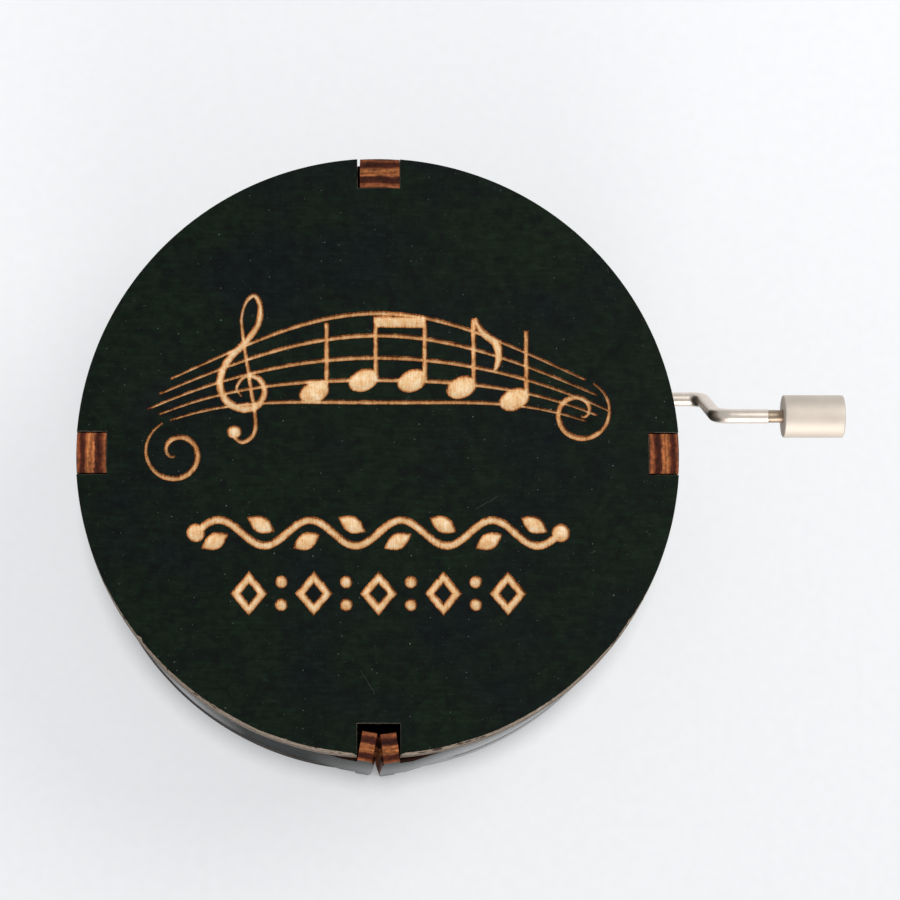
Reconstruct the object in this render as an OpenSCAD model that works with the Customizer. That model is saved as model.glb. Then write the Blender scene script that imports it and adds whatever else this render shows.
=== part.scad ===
// Round hand-cranked music box: a plywood case with a kerf-bent wall, and an 18-note comb movement.
// Millimetres. +Z is up and +X points along the crank shaft, out of the case.
// The origin is the centre of the base plate's underside, which stands on the table.

/* [Case] */
// Outer diameter of the top and base plates
case_d = 80; // [74:1:110]
// Height of the case, from the table to the top of the top plate
case_h = 38; // [34:0.5:60]
// Thickness of the plywood
ply_t = 3.9; // [2.6:0.1:4.6]
// Depth of the engraving in the top plate
engrave_depth = 0.4; // [0.2:0.05:1.2]
// Countersunk head radius of the screws under the base plate
bed_screw_head_r = 2.4; // [2.2:0.1:3]

/* [Wall strip] */
// Width of each tab
tab_w = 5.3; // [4:0.1:8]
// Room beside a tab in its slot
slot_gap = 0.2; // [0.1:0.05:0.6]
// How far the wall stands inside the rim of the plates
wall_inset = 0.2; // [0:0.05:0.5]
// Angle between two kerfs of the bend
kerf_step = 5; // [4:0.5:8]
// Width of a kerf
kerf_w = 0.45; // [0.2:0.05:0.8]
// Wood left outside a kerf, which is sawn from the inner face
kerf_skin = 0.6; // [0.3:0.1:1.2]
// Opening between the two ends of the strip, at the inner face
seam_gap = 0.1; // [0.05:0.05:0.5]
// Between the two half tabs at the seam
seam_tab_gap = 0.4; // [0.2:0.1:1.5]
// Where the bend ends left of the seam, as an angle from it
seam_bend_left = 16; // [14:1:20]
// Where the bend ends right of the seam, as an angle from it
seam_bend_right = 18; // [14:1:20]
// Lean of the last piece left of the seam
seam_lean_left = 10; // [6:1:11]
// Lean of the last piece right of the seam
seam_lean_right = 8; // [6:1:11]
// How far the wall springs outwards at the seam, on its left
seam_out_left = 1.05; // [0.9:0.05:1.1]
// How far the wall springs outwards at the seam, on its right
seam_out_right = 1.2; // [0.9:0.05:1.25]
// Radius of the hole that the crank passes
wall_hole_r = 2.5; // [1.8:0.1:4]

/* [Crank] */
// Height of the crank shaft above the table
shaft_z = 20.2; // [19.8:0.1:22]
// Distance of the crank shaft from the middle of the case
shaft_y = 10.2; // [9:0.1:14]
// Radius that the knob swings at
crank_r = 16.2; // [10:0.1:17]
// Lean of the crank arm from upright, towards -Y
crank_lean = 17.2; // [0:0.1:45]
// Diameter of the crank wire
wire_d = 1.9; // [1.4:0.1:2.2]
// Radius of the two bends, to the middle of the wire
wire_bend_r = 2; // [1.5:0.1:4]
// Distance from the rim of the case to the middle of the crank arm
arm_standoff = 5.1; // [4:0.1:12]
// Length of full-size wire beyond the middle of the arm
wire_end = 7; // [5:0.1:12]
// Diameter of the pin that the knob turns on
knob_pin_d = 1.7; // [1.2:0.1:1.9]
// Bare pin between the wire's shoulder and the knob
knob_neck = 1.9; // [0.3:0.1:4]
// Length of the knob
knob_len = 8.1; // [6:0.1:14]
// Diameter of the knob
knob_d = 5.7; // [5:0.1:8]

/* [Movement] */
// Thickness of the cast bedplate
bed_t = 2; // [1.6:0.1:3]
// Place of the drum's axis along the crank shaft
drum_x = 5; // [3:0.5:7]
// Length of the drum
drum_len = 18; // [14:0.5:20]
// Radius of the drum
drum_r = 6.4; // [5.5:0.1:6.8]
// Wall of the drum
drum_wall = 0.8; // [0.5:0.1:1.5]
// How far the pins stand out of the drum
pin_h = 0.6; // [0.4:0.05:0.8]
// Radius of a pin
pin_r = 0.18; // [0.1:0.01:0.25]
// Number of pins on the drum
pin_count = 66; // [18:1:90]
// Radius of the drum's arbor
arbor_r = 1; // [0.8:0.1:1.4]
// Number of teeth of the comb
comb_teeth = 18; // [12:1:18]
// Thickness of the comb
comb_t = 1; // [0.6:0.1:1.4]
// Length of the comb, with its teeth
comb_len = 16.8; // [15:0.1:18]
// Length of the comb's teeth
tooth_len = 9.4; // [7:0.1:10]
// Width of a slot between two teeth
comb_slot = 0.3; // [0.2:0.05:0.4]

/* [Worm drive] */
// Number of teeth of the worm wheel
wheel_teeth = 18; // [16:1:20]
// Module of the worm and its wheel
gear_module = 0.6; // [0.5:0.02:0.64]
// Width of the worm wheel
wheel_w = 2.4; // [1.6:0.1:3]
// Pitch radius of the worm
worm_pitch_r = 2.5; // [2.3:0.1:2.8]
// Turns of the worm's thread
worm_turns = 4; // [3:1:5]
// Radius of the inner part of the crank shaft
shaft_r = 1.2; // [0.8:0.1:1.4]
// Radius of the outer part of the crank shaft
shaft_big_r = 1.7; // [1.5:0.1:2.2]

/* [Fits] */
// Radial clearance of a shaft in its bearing
bearing_fit = 0.05; // [0.02:0.01:0.1]
// Radial clearance of a pressed or screwed piece
press_fit = 0.01; // [0:0.01:0.03]
// End play beside a running part
end_play = 0.2; // [0.1:0.05:0.4]
// Gap between the comb's tips and the pins
comb_gap = 0.12; // [0.05:0.01:0.3]
// Play between the worm's thread and the wheel's teeth
backlash = 0.12; // [0.06:0.01:0.2]

/* [Hidden] */
$fn = 48;
eps = 0.01;
through = 1;                                   // how far a cutting tool passes a face

// case
plate_r = case_d / 2;
wall_r = plate_r - wall_inset;
wall_in_r = wall_r - ply_t;
wall_h = case_h - 2 * ply_t;
tab_short = 0.1;                               // a tab ends this far below the plate's outer face
slot_back = 0.1;                               // room behind a tab
seam_slot_back = 0.3;
seam_tab_play = 0.05;                          // beside a half tab, in its slot
end_lap = 0.8;                                 // how far a straight end reaches into the bent part
end_thinner = 0.02;                            // a straight end is this much thinner on each side
hole_margin = 1.5;                             // uncut wood round the crank's hole
slot_w = tab_w + 2 * slot_gap;
top_tab_shift = slot_gap * 0.8;                // the tab opposite the seam sits to one side of its slot
deck_z = case_h - ply_t;                       // underside of the top plate
tab_turns = [0, 90, 180];
seam_turn = 270;

// movement
bed_z = ply_t;
bed_top = bed_z + bed_t;
pitch = PI * gear_module;
tip_relief = 0.02;
wheel_pitch_r = gear_module * wheel_teeth / 2;
wheel_tip_r = wheel_pitch_r + gear_module - tip_relief;
wheel_root_r = wheel_pitch_r - 1.2 * gear_module;
worm_tip_r = worm_pitch_r + gear_module;
worm_root_r = worm_pitch_r - 1.2 * gear_module;
worm_len = worm_turns * pitch + pitch / 2;
lead_angle = atan(pitch / (2 * PI * worm_pitch_r));
flank_angle = 20;
drum_worm_gap = 0.3;                           // between the drum's end and the worm
drum_z = shaft_z - wheel_pitch_r - worm_pitch_r;
hub_len = worm_tip_r - wheel_w / 2 + drum_worm_gap;
drum_y1 = shaft_y - wheel_w / 2 - hub_len;
drum_y0 = drum_y1 - drum_len;
pin_tip_r = drum_r + pin_h;
cap_t = 1.4;
cap_hole_r = 0.8;
wheel_hub_wall = 1.5;
wheel_hub_r = arbor_r + wheel_hub_wall;

// comb
comb_tip_x = drum_x - pin_tip_r - comb_gap;
comb_x = comb_tip_x - comb_len;
comb_margin = 0.6;                             // from the drum's ends to the outer teeth
comb_y0 = drum_y0 + comb_margin;
comb_w = drum_len - 2 * comb_margin;
tooth_pitch = comb_w / comb_teeth;
tooth_w = tooth_pitch - comb_slot;
comb_z = drum_z - comb_t / 2;
comb_body = comb_len - tooth_len;
comb_screw_r = 1.2;
comb_screw_head_r = 2.2;
comb_screw_x = comb_x + comb_body / 2;
comb_screw_ys = [comb_y0 + comb_w * 0.22, comb_y0 + comb_w * 0.78];
weight_count = 8;
weight_len = 3.2;                              // the largest weight, under the longest tooth
weight_drop = 2;

// brackets
bracket_t = 1.4;
bracket_rim = 2.2;                             // metal round a bearing
lug_len = 5.4;
lug_w = 6;
lug_t = 1.4;
bracket_screw_r = 1;
bracket_screw_head_r = 1.9;
screw_head_h = 1.1;
driver_slot = 0.5;
screw_short = 0.1;                             // a screw ends this far before the metal it holds in
worm_back_gap = 0.9;                           // between the worm and the bracket's back
cheek_rim = 1;                                 // metal of a cheek in front of the crank shaft
top_rim = 1.3;                                 // and above it
wheel_cheek_gap = 0.8;
axle_end = 1.2;                                // the arbor stands this far out of its bearings
arbor_bracket_y = drum_y0 - 3 * end_play;      // face next to the drum
arbor_bracket_w = 2 * (arbor_r + bracket_rim);
drive_back_y = shaft_y + worm_tip_r + worm_back_gap;
drive_front_y = shaft_y - shaft_big_r - cheek_rim;
cheek_gap = wheel_tip_r + wheel_cheek_gap;
cheek_in_x = drum_x - cheek_gap;               // inner face of the inner cheek
cheek_out_x = drum_x + cheek_gap;              // inner face of the outer cheek
drive_top_z = shaft_z + shaft_big_r + top_rim;
arbor_y0 = arbor_bracket_y - bracket_t - axle_end;
arbor_y1 = drive_back_y + bracket_t + axle_end;
clip_t = 0.5;
clip_rim = 1;

// bedplate
bed_margin = 1;
bed_x0 = comb_x - bed_margin;
bed_x1 = cheek_out_x + bracket_t + lug_len + bed_margin;
bed_y0 = arbor_bracket_y - bracket_t - lug_len - bed_margin / 2;
bed_y1 = drive_back_y + bracket_t + bed_margin;
bed_corner_r = 2.5;
bed_screw_r = 1.3;
bed_screw_inset = 3.4;
bed_screw_cone = bed_screw_head_r - bed_screw_r;
screw_hole_fit = 0.1;                          // round a screw in the base plate
screw_sunk = 0.05;                             // the screws end this far above the base plate's underside
lug_hole_fit = 0.05;                           // round a screw in a bracket's lug or in the comb
drum_window_rim = 1;                           // of the bedplate, under each side of the drum
drum_window_gap = 0.3;
seat_margin = 0.5;                             // the comb's seat past the comb, at each end
bed_screw_places = [[bed_x0 + bed_screw_inset, bed_y0 + bed_screw_inset],
                    [bed_x1 - bed_screw_inset, bed_y0 + bed_screw_inset],
                    [drum_x, (shaft_y + wheel_w / 2 + drive_back_y) / 2]];
bracket_screw_places = [[drum_x, arbor_bracket_y - bracket_t - lug_len / 2],
                        [cheek_in_x - bracket_t - lug_len / 2, drive_back_y + bracket_t - lug_w / 2],
                        [cheek_out_x + bracket_t + lug_len / 2, drive_back_y + bracket_t - lug_w / 2]];

// crank
wire_r = wire_d / 2;
arm_x = plate_r + arm_standoff;
worm_shoulder = 1;
shaft_out = 8;                                 // the shaft's length outside its bracket
flange_t = 1;
flange_rim = 0.8;
shaft_x0 = cheek_in_x - bracket_t - end_play - 2 * clip_t;
shaft_step_x = drum_x + worm_len / 2 + worm_shoulder;
shaft_flange_x = cheek_out_x + bracket_t + end_play;
shaft_x1 = shaft_flange_x + shaft_out;
socket_len = 6;
socket_gap = 0.2;                              // between the wire's end and the socket's bottom
shoulder_x = arm_x + wire_end;
knob_x0 = shoulder_x + knob_neck;
knob_x1 = knob_x0 + knob_len;
knob_pin_r = knob_pin_d / 2;
retainer_t = 0.6;
retainer_rim = 0.8;
retainer_r = knob_pin_r + retainer_rim;
retainer_gap = 0.2;                            // round the retainer, in the knob's counterbore
pin_sunk = 0.4;                                // the pin ends this far inside the knob
counterbore = retainer_t + end_play + pin_sunk;
knob_edge = 0.3;

// engraving
stave_x = 30.5;                                 // half length of the stave
stave_crown = 12.8;
stave_drop = 7;
stave_space = 3;                               // between two lines, in the middle
stave_pinch = 0.45;                            // share of that left at the ends
stave_line = 0.62;                             // width of a line in the middle
curve_steps = 6;

// ---------------------------------------------------------------- shapes in the plane

function rounded_points(x0, y0, x1, y1, r, n = 6) = [
    for (c = [[x1 - r, y1 - r, 0], [x0 + r, y1 - r, 90], [x0 + r, y0 + r, 180], [x1 - r, y0 + r, 270]],
         k = [0:n]) [c[0] + r * cos(c[2] + 90 * k / n), c[1] + r * sin(c[2] + 90 * k / n)]];

function ellipse_points(x, y, a, b, turn, n = 20) = [
    for (k = [0:n - 1]) let (u = a * cos(360 * k / n), v = b * sin(360 * k / n))
        [x + u * cos(turn) - v * sin(turn), y + u * sin(turn) + v * cos(turn)]];

// A smooth curve through the points of p
function curve_point(a, b, c, d, t) =
    0.5 * (2 * b + (c - a) * t + (2 * a - 5 * b + 4 * c - d) * t * t + (3 * b - a - 3 * c + d) * t * t * t);
function curve(p, n = curve_steps) = [
    for (i = [0:len(p) - 2], k = [0:n - 1])
        curve_point(p[max(i - 1, 0)], p[i], p[i + 1], p[min(i + 2, len(p) - 1)], k / n),
    p[len(p) - 1]];

function unit(v) = v / norm(v);
function side_of(p, i) = let (d = unit(p[min(i + 1, len(p) - 1)] - p[max(i - 1, 0)])) [-d[1], d[0]];

// A stroke along the points of p, w wide in the middle and w_end at its ends
module stroke(p, w, w_end) {
    n = len(p) - 1;
    half = [for (i = [0:n]) (w_end + (w - w_end) * sin(180 * i / n)) / 2];
    polygon(concat([for (i = [0:n]) p[i] + half[i] * side_of(p, i)],
                   [for (i = [n:-1:0]) p[i] - half[i] * side_of(p, i)]));
}

// ---------------------------------------------------------------- engraving

function stave_mid(x) = stave_crown - stave_drop * pow(x / stave_x, 2);
function stave_gap(x) = stave_space * (stave_pinch + (1 - stave_pinch) * pow(cos(90 * x / stave_x), 2));
function on_stave(x, line) = [x, stave_mid(x) + line * stave_gap(x)];

module stave_lines() {
    steps = 28;
    for (line = [-2:2]) {
        reach = stave_x - 1.5 * abs(line);
        stroke([for (k = [0:steps]) on_stave(-reach + 2 * reach * k / steps, line)],
               stave_line, stave_line / 2);
    }
}

// The outer lines run out into a curl: turn is the first direction, way is 1 to curl left or -1 right
module curl(start, turn, way) {
    steps = 34;
    turns = 1.35;
    size = 4.4;
    centre = start + size * [cos(turn + way * 90), sin(turn + way * 90)];
    heart = 0.1;                               // share of the size left in the middle
    stroke([for (k = [0:steps])
            let (r = size * (pow(1 - k / steps, 0.75) + heart) / (1 + heart),
                 a = turn + way * (360 * turns * k / steps - 90))
            centre + r * [cos(a), sin(a)]], stave_line * 1.3, stave_line / 2);
}

// A treble clef about the stave's second line
module clef(x) {
    s = 1.25 * stave_gap(x);
    at = on_stave(x, -1);
    belly = [[-0.25, -0.4], [-0.5, 0.1], [-0.1, 0.68], [0.62, 0.6], [0.98, -0.1], [0.6, -0.88], [-0.3, -1.05],
             [-1.15, -0.5], [-1.4, 0.5], [-0.95, 1.6], [-0.1, 2.5], [0.6, 3.5], [0.72, 4.5], [0.38, 5.1],
             [-0.1, 4.6], [-0.3, 3.7]];
    spine = [[-0.3, 3.8], [-0.12, 2.4], [0.22, 0.2], [0.5, -1.7], [0.36, -2.5], [-0.2, -2.85], [-0.72, -2.5]];
    stroke([for (p = curve(belly)) at + s * p], 0.46 * s, 0.14 * s);
    stroke([for (p = curve(spine)) at + s * p], 0.26 * s, 0.2 * s);
    polygon(ellipse_points(at[0] - 0.62 * s, at[1] - 2.3 * s, 0.4 * s, 0.36 * s, 0));
}

module note_head(x, line) {
    at = on_stave(x, line);
    polygon(ellipse_points(at[0], at[1], 0.72 * stave_space, 0.5 * stave_space, 24));
}

module note_stem(x, line, up) {
    at = on_stave(x, line);
    w = 0.24 * stave_space;
    translate([at[0] + 0.66 * stave_space - w, at[1]]) square([w, up * stave_space]);
}

module quarter_note(x, line) {
    note_head(x, line);
    note_stem(x, line, 3.1);
}

module eighth_note(x, line) {
    quarter_note(x, line);
    top = on_stave(x, line) + [0.6 * stave_space, 3.1 * stave_space];
    flag = curve([[0, 0], [0.35, -0.65], [0.95, -1.15], [1.05, -1.9], [0.8, -2.4]]);
    stroke([for (p = flag) top + stave_space * p],
           0.42 * stave_space, 0.16 * stave_space);
}

module beamed_pair(x0, x1, line) {
    thick = 0.55 * stave_space;
    stem_x = 0.66 * stave_space;
    note_head(x0, line);
    note_head(x1, line);
    note_stem(x0, line, 2.9);
    note_stem(x1, line, 2.9);
    a = on_stave(x0, line) + [stem_x - 0.24 * stave_space, 2.9 * stave_space];
    b = on_stave(x1, line) + [stem_x, 2.9 * stave_space];
    polygon([a, b, b - [0, thick], a - [0, thick]]);
}

// A wavy stem with a leaf in each bend
module vine(x0, x1, y, bends) {
    rise = 1.7;
    stem = 1.1;
    wave = (x1 - x0) / bends;
    steps = bends * 8;
    stroke([for (k = [0:steps]) [x0 + (x1 - x0) * k / steps, y + rise * sin(180 * bends * k / steps)]],
           stem, stem);
    for (i = [0:bends - 1]) {
        way = i % 2 == 0 ? 1 : -1;
        leaf(x0 + wave * (i + 0.42), y - way * 1.1, way * 28);
    }
    for (end = [x0, x1]) polygon(ellipse_points(end, y, 1.25, 1.25, 0));
}

module leaf(x, y, turn) {
    half = 2.1;
    bulge = 1.15;
    steps = 8;
    translate([x, y]) rotate(turn) polygon(concat(
        [for (k = [0:steps]) [-half + 2 * half * k / steps, bulge * sin(180 * k / steps)]],
        [for (k = [steps - 1:-1:1]) [-half + 2 * half * k / steps, -bulge * sin(180 * k / steps)]]));
}

// A row of open diamonds with pairs of dots between them
module diamond_row(x0, x1, y, count) {
    step = (x1 - x0) / (count - 1);
    tall = 3;
    wide = 2.5;
    hollow = 0.42;
    for (i = [0:count - 1]) translate([x0 + step * i, y]) difference() {
        polygon([[wide, 0], [0, tall], [-wide, 0], [0, -tall]]);
        polygon(hollow * [[wide, 0], [0, tall], [-wide, 0], [0, -tall]]);
    }
    for (i = [0:count - 2], up = [-1, 1])
        polygon(ellipse_points(x0 + step * (i + 0.5), y + up * 1.5, 0.85, 0.85, 0, 14));
}

module artwork() {
    stave_lines();
    curl(on_stave(-stave_x + 2, -2), 205, 1);
    curl(on_stave(stave_x - 2, 2), -25, -1);
    clef(-17.5);
    quarter_note(-8.5, -1.5);
    beamed_pair(-2, 4.5, -1);
    eighth_note(11, -1.2);
    quarter_note(18, -1.6);
    vine(-24, 24, -10.6, 8);
    diamond_row(-17, 17, -18.6, 5);
}

// ---------------------------------------------------------------- case

module slots(height) {
    back = wall_in_r - slot_back;
    for (turn = tab_turns) rotate(turn)
        translate([back, -slot_w / 2, -through]) cube([ply_t + through + 5, slot_w, height + 2 * through]);
    rotate(seam_turn)
        translate([wall_in_r - seam_slot_back, -slot_w / 2, -through])
            cube([ply_t + through + 5, slot_w, height + 2 * through]);
}

module top_plate() {
    color([0.11, 0.13, 0.12]) translate([0, 0, deck_z]) difference() {
        cylinder(r = plate_r, h = ply_t);
        slots(ply_t);
        translate([0, 0, ply_t - engrave_depth]) linear_extrude(engrave_depth + through) artwork();
    }
}

module base_plate() {
    color([0.11, 0.13, 0.12]) difference() {
        cylinder(r = plate_r, h = ply_t);
        slots(ply_t);
        for (p = bed_screw_places) translate([p[0], p[1], 0]) {
            translate([0, 0, -through]) cylinder(r = bed_screw_r + screw_hole_fit, h = ply_t + 2 * through);
            translate([0, 0, -eps])
                cylinder(r1 = bed_screw_head_r + screw_hole_fit, r2 = bed_screw_r + screw_hole_fit,
                         h = bed_screw_cone + eps);
        }
    }
}

// Plan of an end of the strip, with x outwards and y away from the seam. It runs on straight from the bend,
// and its last piece turns a little, at the kink, along the rim. It is a hair thinner than the bent part.
function end_kink(bend, lean, out) =
    let (y = ((wall_in_r + end_thinner) / cos(bend) - wall_in_r - out) / (tan(bend) - tan(lean)))
    [wall_in_r + out - y * tan(lean), y];

module end_plan(bend, lean, out) {
    thick = ply_t - 2 * end_thinner;
    half_turn = (bend - lean) / 2;
    kink = end_kink(bend, lean, out);
    end = [wall_in_r + out - seam_gap / 2 * tan(lean), seam_gap / 2];
    start = (wall_in_r + end_thinner) * [cos(bend), sin(bend)] + end_lap * [-sin(bend), cos(bend)];
    polygon([start, kink, end, end + thick * [cos(lean), sin(lean)],
             kink + thick / cos(half_turn) * [cos(lean + half_turn), sin(lean + half_turn)],
             start + thick * [cos(bend), sin(bend)]]);
}

// Plan of the half tab on an end
module half_tab_plan(lean, out) {
    thick = ply_t - 2 * end_thinner;
    length = (slot_w / 2 - seam_tab_gap / 2 - ply_t * sin(lean) - seam_tab_play) / cos(lean);
    tip = [wall_in_r + out - seam_tab_gap / 2 * tan(lean), seam_tab_gap / 2];
    far = tip + length * [-sin(lean), cos(lean)];
    polygon([tip, far, far + thick * [cos(lean), sin(lean)], tip + thick * [cos(lean), sin(lean)]]);
}

module strip_end(bend, lean, out) {
    translate([0, 0, ply_t + end_thinner]) linear_extrude(wall_h - 2 * end_thinner) end_plan(bend, lean, out);
    translate([0, 0, tab_short]) linear_extrude(case_h - 2 * tab_short) half_tab_plan(lean, out);
}

// Cuts away both edges of the strip's bent part, all but its tabs
module edge_cuts() {
    past_end = 1;                              // degrees that the cuts run on past the bent part
    for (z = [tab_short - through, case_h - ply_t]) difference() {
        translate([0, 0, z]) rotate(seam_turn + seam_bend_right - past_end)
            rotate_extrude(angle = 360 - seam_bend_left - seam_bend_right + 2 * past_end)
                translate([wall_in_r - through, 0]) square([ply_t + 2 * through, ply_t - tab_short + through]);
        for (turn = tab_turns) rotate(turn)
            translate([wall_in_r - 2 * through, -tab_w / 2 - (turn == 90 ? top_tab_shift : 0), z - through])
                cube([ply_t + 4 * through, tab_w, ply_t + 2 * through]);
    }
}

// Kerfs that let the strip bend, sawn from its inner face
module kerfs() {
    tab_half = asin((tab_w / 2 + kerf_w) / wall_in_r);
    hole_turn = asin(shaft_y / wall_r);
    hole_half = asin((wall_hole_r + hole_margin) / wall_in_r);
    past_lap = asin((end_lap + kerf_w) / wall_in_r);
    whole_turns = [[360 - seam_turn + hole_turn, hole_half], for (t = [90, 180, 270]) [t, tab_half]];
    for (turn = [seam_bend_right + past_lap:kerf_step:360 - seam_bend_left - past_lap])
        if (min([for (w = whole_turns) abs(turn - w[0]) - w[1]]) > 0)
            rotate(seam_turn + turn) translate([wall_in_r - through, -kerf_w / 2, ply_t - through])
                cube([ply_t - kerf_skin + through, kerf_w, wall_h + 2 * through]);
    rotate(seam_turn) {
        kink_kerf(seam_bend_right, seam_lean_right, seam_out_right);
        mirror([0, 1, 0]) kink_kerf(seam_bend_left, seam_lean_left, seam_out_left);
    }
}

module kink_kerf(bend, lean, out) {
    translate(concat(end_kink(bend, lean, out), ply_t - through)) rotate((bend + lean) / 2)
        translate([-through, -kerf_w / 2, 0])
            cube([ply_t - kerf_skin + through, kerf_w, wall_h + 2 * through]);
}

module wall_strip() {
    color([0.15, 0.15, 0.16]) difference() {
        union() {
            difference() {
                rotate(seam_turn + seam_bend_right) translate([0, 0, tab_short])
                    rotate_extrude(angle = 360 - seam_bend_left - seam_bend_right)
                        translate([wall_in_r, 0]) square([ply_t, case_h - 2 * tab_short]);
                edge_cuts();
            }
            rotate(seam_turn) {
                strip_end(seam_bend_right, seam_lean_right, seam_out_right);
                mirror([0, 1, 0]) strip_end(seam_bend_left, seam_lean_left, seam_out_left);
            }
        }
        kerfs();
        translate([0, shaft_y, shaft_z]) rotate([0, 90, 0]) cylinder(r = wall_hole_r, h = plate_r + through);
    }
}

// ---------------------------------------------------------------- frame of the movement

module slotted_screw(head_r, head_h, shank_r, shank_len) {
    difference() {
        union() {
            cylinder(r = head_r, h = head_h);
            translate([0, 0, -shank_len]) cylinder(r = shank_r, h = shank_len);
        }
        translate([-head_r - through, -driver_slot / 2, head_h / 2])
            cube([2 * (head_r + through), driver_slot, head_h]);
    }
}

module bedplate() {
    seat_h = comb_z - bed_top;
    color([0.62, 0.62, 0.6]) difference() {
        union() {
            translate([0, 0, bed_z]) linear_extrude(bed_t)
                polygon(rounded_points(bed_x0, bed_y0, bed_x1, bed_y1, bed_corner_r));
            translate([comb_x - bed_margin / 2, comb_y0 - seat_margin, bed_top])
                cube([comb_body + bed_margin / 2, comb_w + 2 * seat_margin, seat_h]);
        }
        translate([drum_x - drum_r + drum_window_rim, drum_y0 - drum_window_gap, bed_z - through])
            cube([2 * (drum_r - drum_window_rim), shaft_y + wheel_w / 2 + 2 * drum_window_gap - drum_y0,
                  bed_t + 2 * through]);
        for (y = comb_screw_ys) translate([comb_screw_x, y, bed_top])
            cylinder(r = comb_screw_r + press_fit, h = seat_h + through);
        for (p = bracket_screw_places) translate([p[0], p[1], bed_z - through])
            cylinder(r = bracket_screw_r + press_fit, h = bed_t + 2 * through);
        for (p = bed_screw_places) translate([p[0], p[1], bed_z - through])
            cylinder(r = bed_screw_r + press_fit, h = bed_t + 2 * through);
    }
}

module bed_screws() {
    shank = bed_top - drum_window_gap - bed_screw_cone;
    cross_depth = 0.8;
    cross_w = 2.6;
    color([0.75, 0.75, 0.74]) for (p = bed_screw_places) translate([p[0], p[1], screw_sunk]) difference() {
        union() {
            cylinder(r1 = bed_screw_head_r, r2 = bed_screw_r, h = bed_screw_cone);
            translate([0, 0, bed_screw_cone]) cylinder(r = bed_screw_r, h = shank);
        }
        for (turn = [0, 90]) rotate(turn) translate([-cross_w / 2, -driver_slot / 2, -through])
            cube([cross_w, driver_slot, through + cross_depth]);
    }
}

module arbor_bracket() {
    foot_y = arbor_bracket_y - bracket_t;
    color([0.7, 0.7, 0.68]) difference() {
        union() {
            translate([drum_x - arbor_bracket_w / 2, foot_y, bed_top])
                cube([arbor_bracket_w, bracket_t, drum_z - bed_top]);
            translate([drum_x, foot_y, drum_z]) rotate([-90, 0, 0])
                cylinder(r = arbor_bracket_w / 2, h = bracket_t);
            translate([drum_x - arbor_bracket_w / 2, foot_y - lug_len, bed_top])
                cube([arbor_bracket_w, lug_len, lug_t]);
        }
        translate([drum_x, foot_y - through, drum_z]) rotate([-90, 0, 0])
            cylinder(r = arbor_r + bearing_fit, h = bracket_t + 2 * through);
        translate(concat(bracket_screw_places[0], bed_top - through))
            cylinder(r = bracket_screw_r + lug_hole_fit, h = lug_t + 2 * through);
    }
}

module drive_bracket() {
    height = drive_top_z - bed_top;
    depth = drive_back_y + bracket_t - drive_front_y;
    color([0.66, 0.66, 0.64]) difference() {
        union() {
            translate([cheek_in_x - bracket_t, drive_back_y, bed_top])
                cube([cheek_out_x - cheek_in_x + 2 * bracket_t, bracket_t, height]);
            for (x = [cheek_in_x - bracket_t, cheek_out_x])
                translate([x, drive_front_y, bed_top]) cube([bracket_t, depth, height]);
            for (x = [cheek_in_x - bracket_t - lug_len, cheek_out_x + bracket_t])
                translate([x, drive_back_y + bracket_t - lug_w, bed_top]) cube([lug_len, lug_w, lug_t]);
        }
        translate([drum_x, drive_back_y - through, drum_z]) rotate([-90, 0, 0])
            cylinder(r = arbor_r + bearing_fit, h = bracket_t + 2 * through);
        translate([cheek_in_x - bracket_t - through, shaft_y, shaft_z]) rotate([0, 90, 0])
            cylinder(r = shaft_r + bearing_fit, h = bracket_t + 2 * through);
        translate([cheek_out_x - through, shaft_y, shaft_z]) rotate([0, 90, 0])
            cylinder(r = shaft_big_r + bearing_fit, h = bracket_t + 2 * through);
        for (i = [1, 2]) translate(concat(bracket_screw_places[i], bed_top - through))
            cylinder(r = bracket_screw_r + lug_hole_fit, h = lug_t + 2 * through);
    }
}

module bracket_screws() {
    color([0.8, 0.8, 0.78]) for (p = bracket_screw_places) translate([p[0], p[1], bed_top + lug_t])
        slotted_screw(bracket_screw_head_r, screw_head_h, bracket_screw_r, lug_t + bed_t - screw_short);
}

// ---------------------------------------------------------------- comb

function tooth_y(i) = comb_y0 + i * tooth_pitch + comb_slot / 2;

module comb() {
    color([0.78, 0.79, 0.8]) difference() {
        union() {
            translate([comb_x, comb_y0, comb_z]) cube([comb_body, comb_w, comb_t]);
            for (i = [0:comb_teeth - 1])
                translate([comb_x, tooth_y(i), comb_z]) cube([comb_len, tooth_w, comb_t]);
        }
        for (y = comb_screw_ys) translate([comb_screw_x, y, comb_z - through])
            cylinder(r = comb_screw_r + lug_hole_fit, h = comb_t + 2 * through);
    }
}

// Lead weights under the long notes, smaller towards the treble
module comb_weights() {
    narrower = 0.03;                           // than its tooth, on each side
    bare_tip = 1;
    color([0.4, 0.41, 0.43]) for (i = [0:weight_count - 1]) {
        length = weight_len * (1 - 0.07 * i);
        drop = weight_drop * (1 - 0.08 * i);
        translate([comb_tip_x - bare_tip - length, tooth_y(i) + narrower, comb_z - drop])
            cube([length, tooth_w - 2 * narrower, drop]);
    }
}

module comb_screws() {
    color([0.82, 0.72, 0.42]) for (y = comb_screw_ys) translate([comb_screw_x, y, comb_z + comb_t])
        slotted_screw(comb_screw_head_r, screw_head_h, comb_screw_r,
                      comb_t + comb_z - bed_top - 2 * screw_short);
}

// ---------------------------------------------------------------- drum

// Turns and slides its children to the place of each pin, with +Z pointing out of the drum
module at_pins() {
    hop = 7;                                   // tracks from one pin to the next
    for (i = [0:pin_count - 1]) {
        y = comb_y0 + tooth_pitch * ((i * hop) % comb_teeth + 0.5);
        translate([drum_x, y, drum_z]) rotate([0, 360 * i / pin_count, 0]) children();
    }
}

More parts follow.
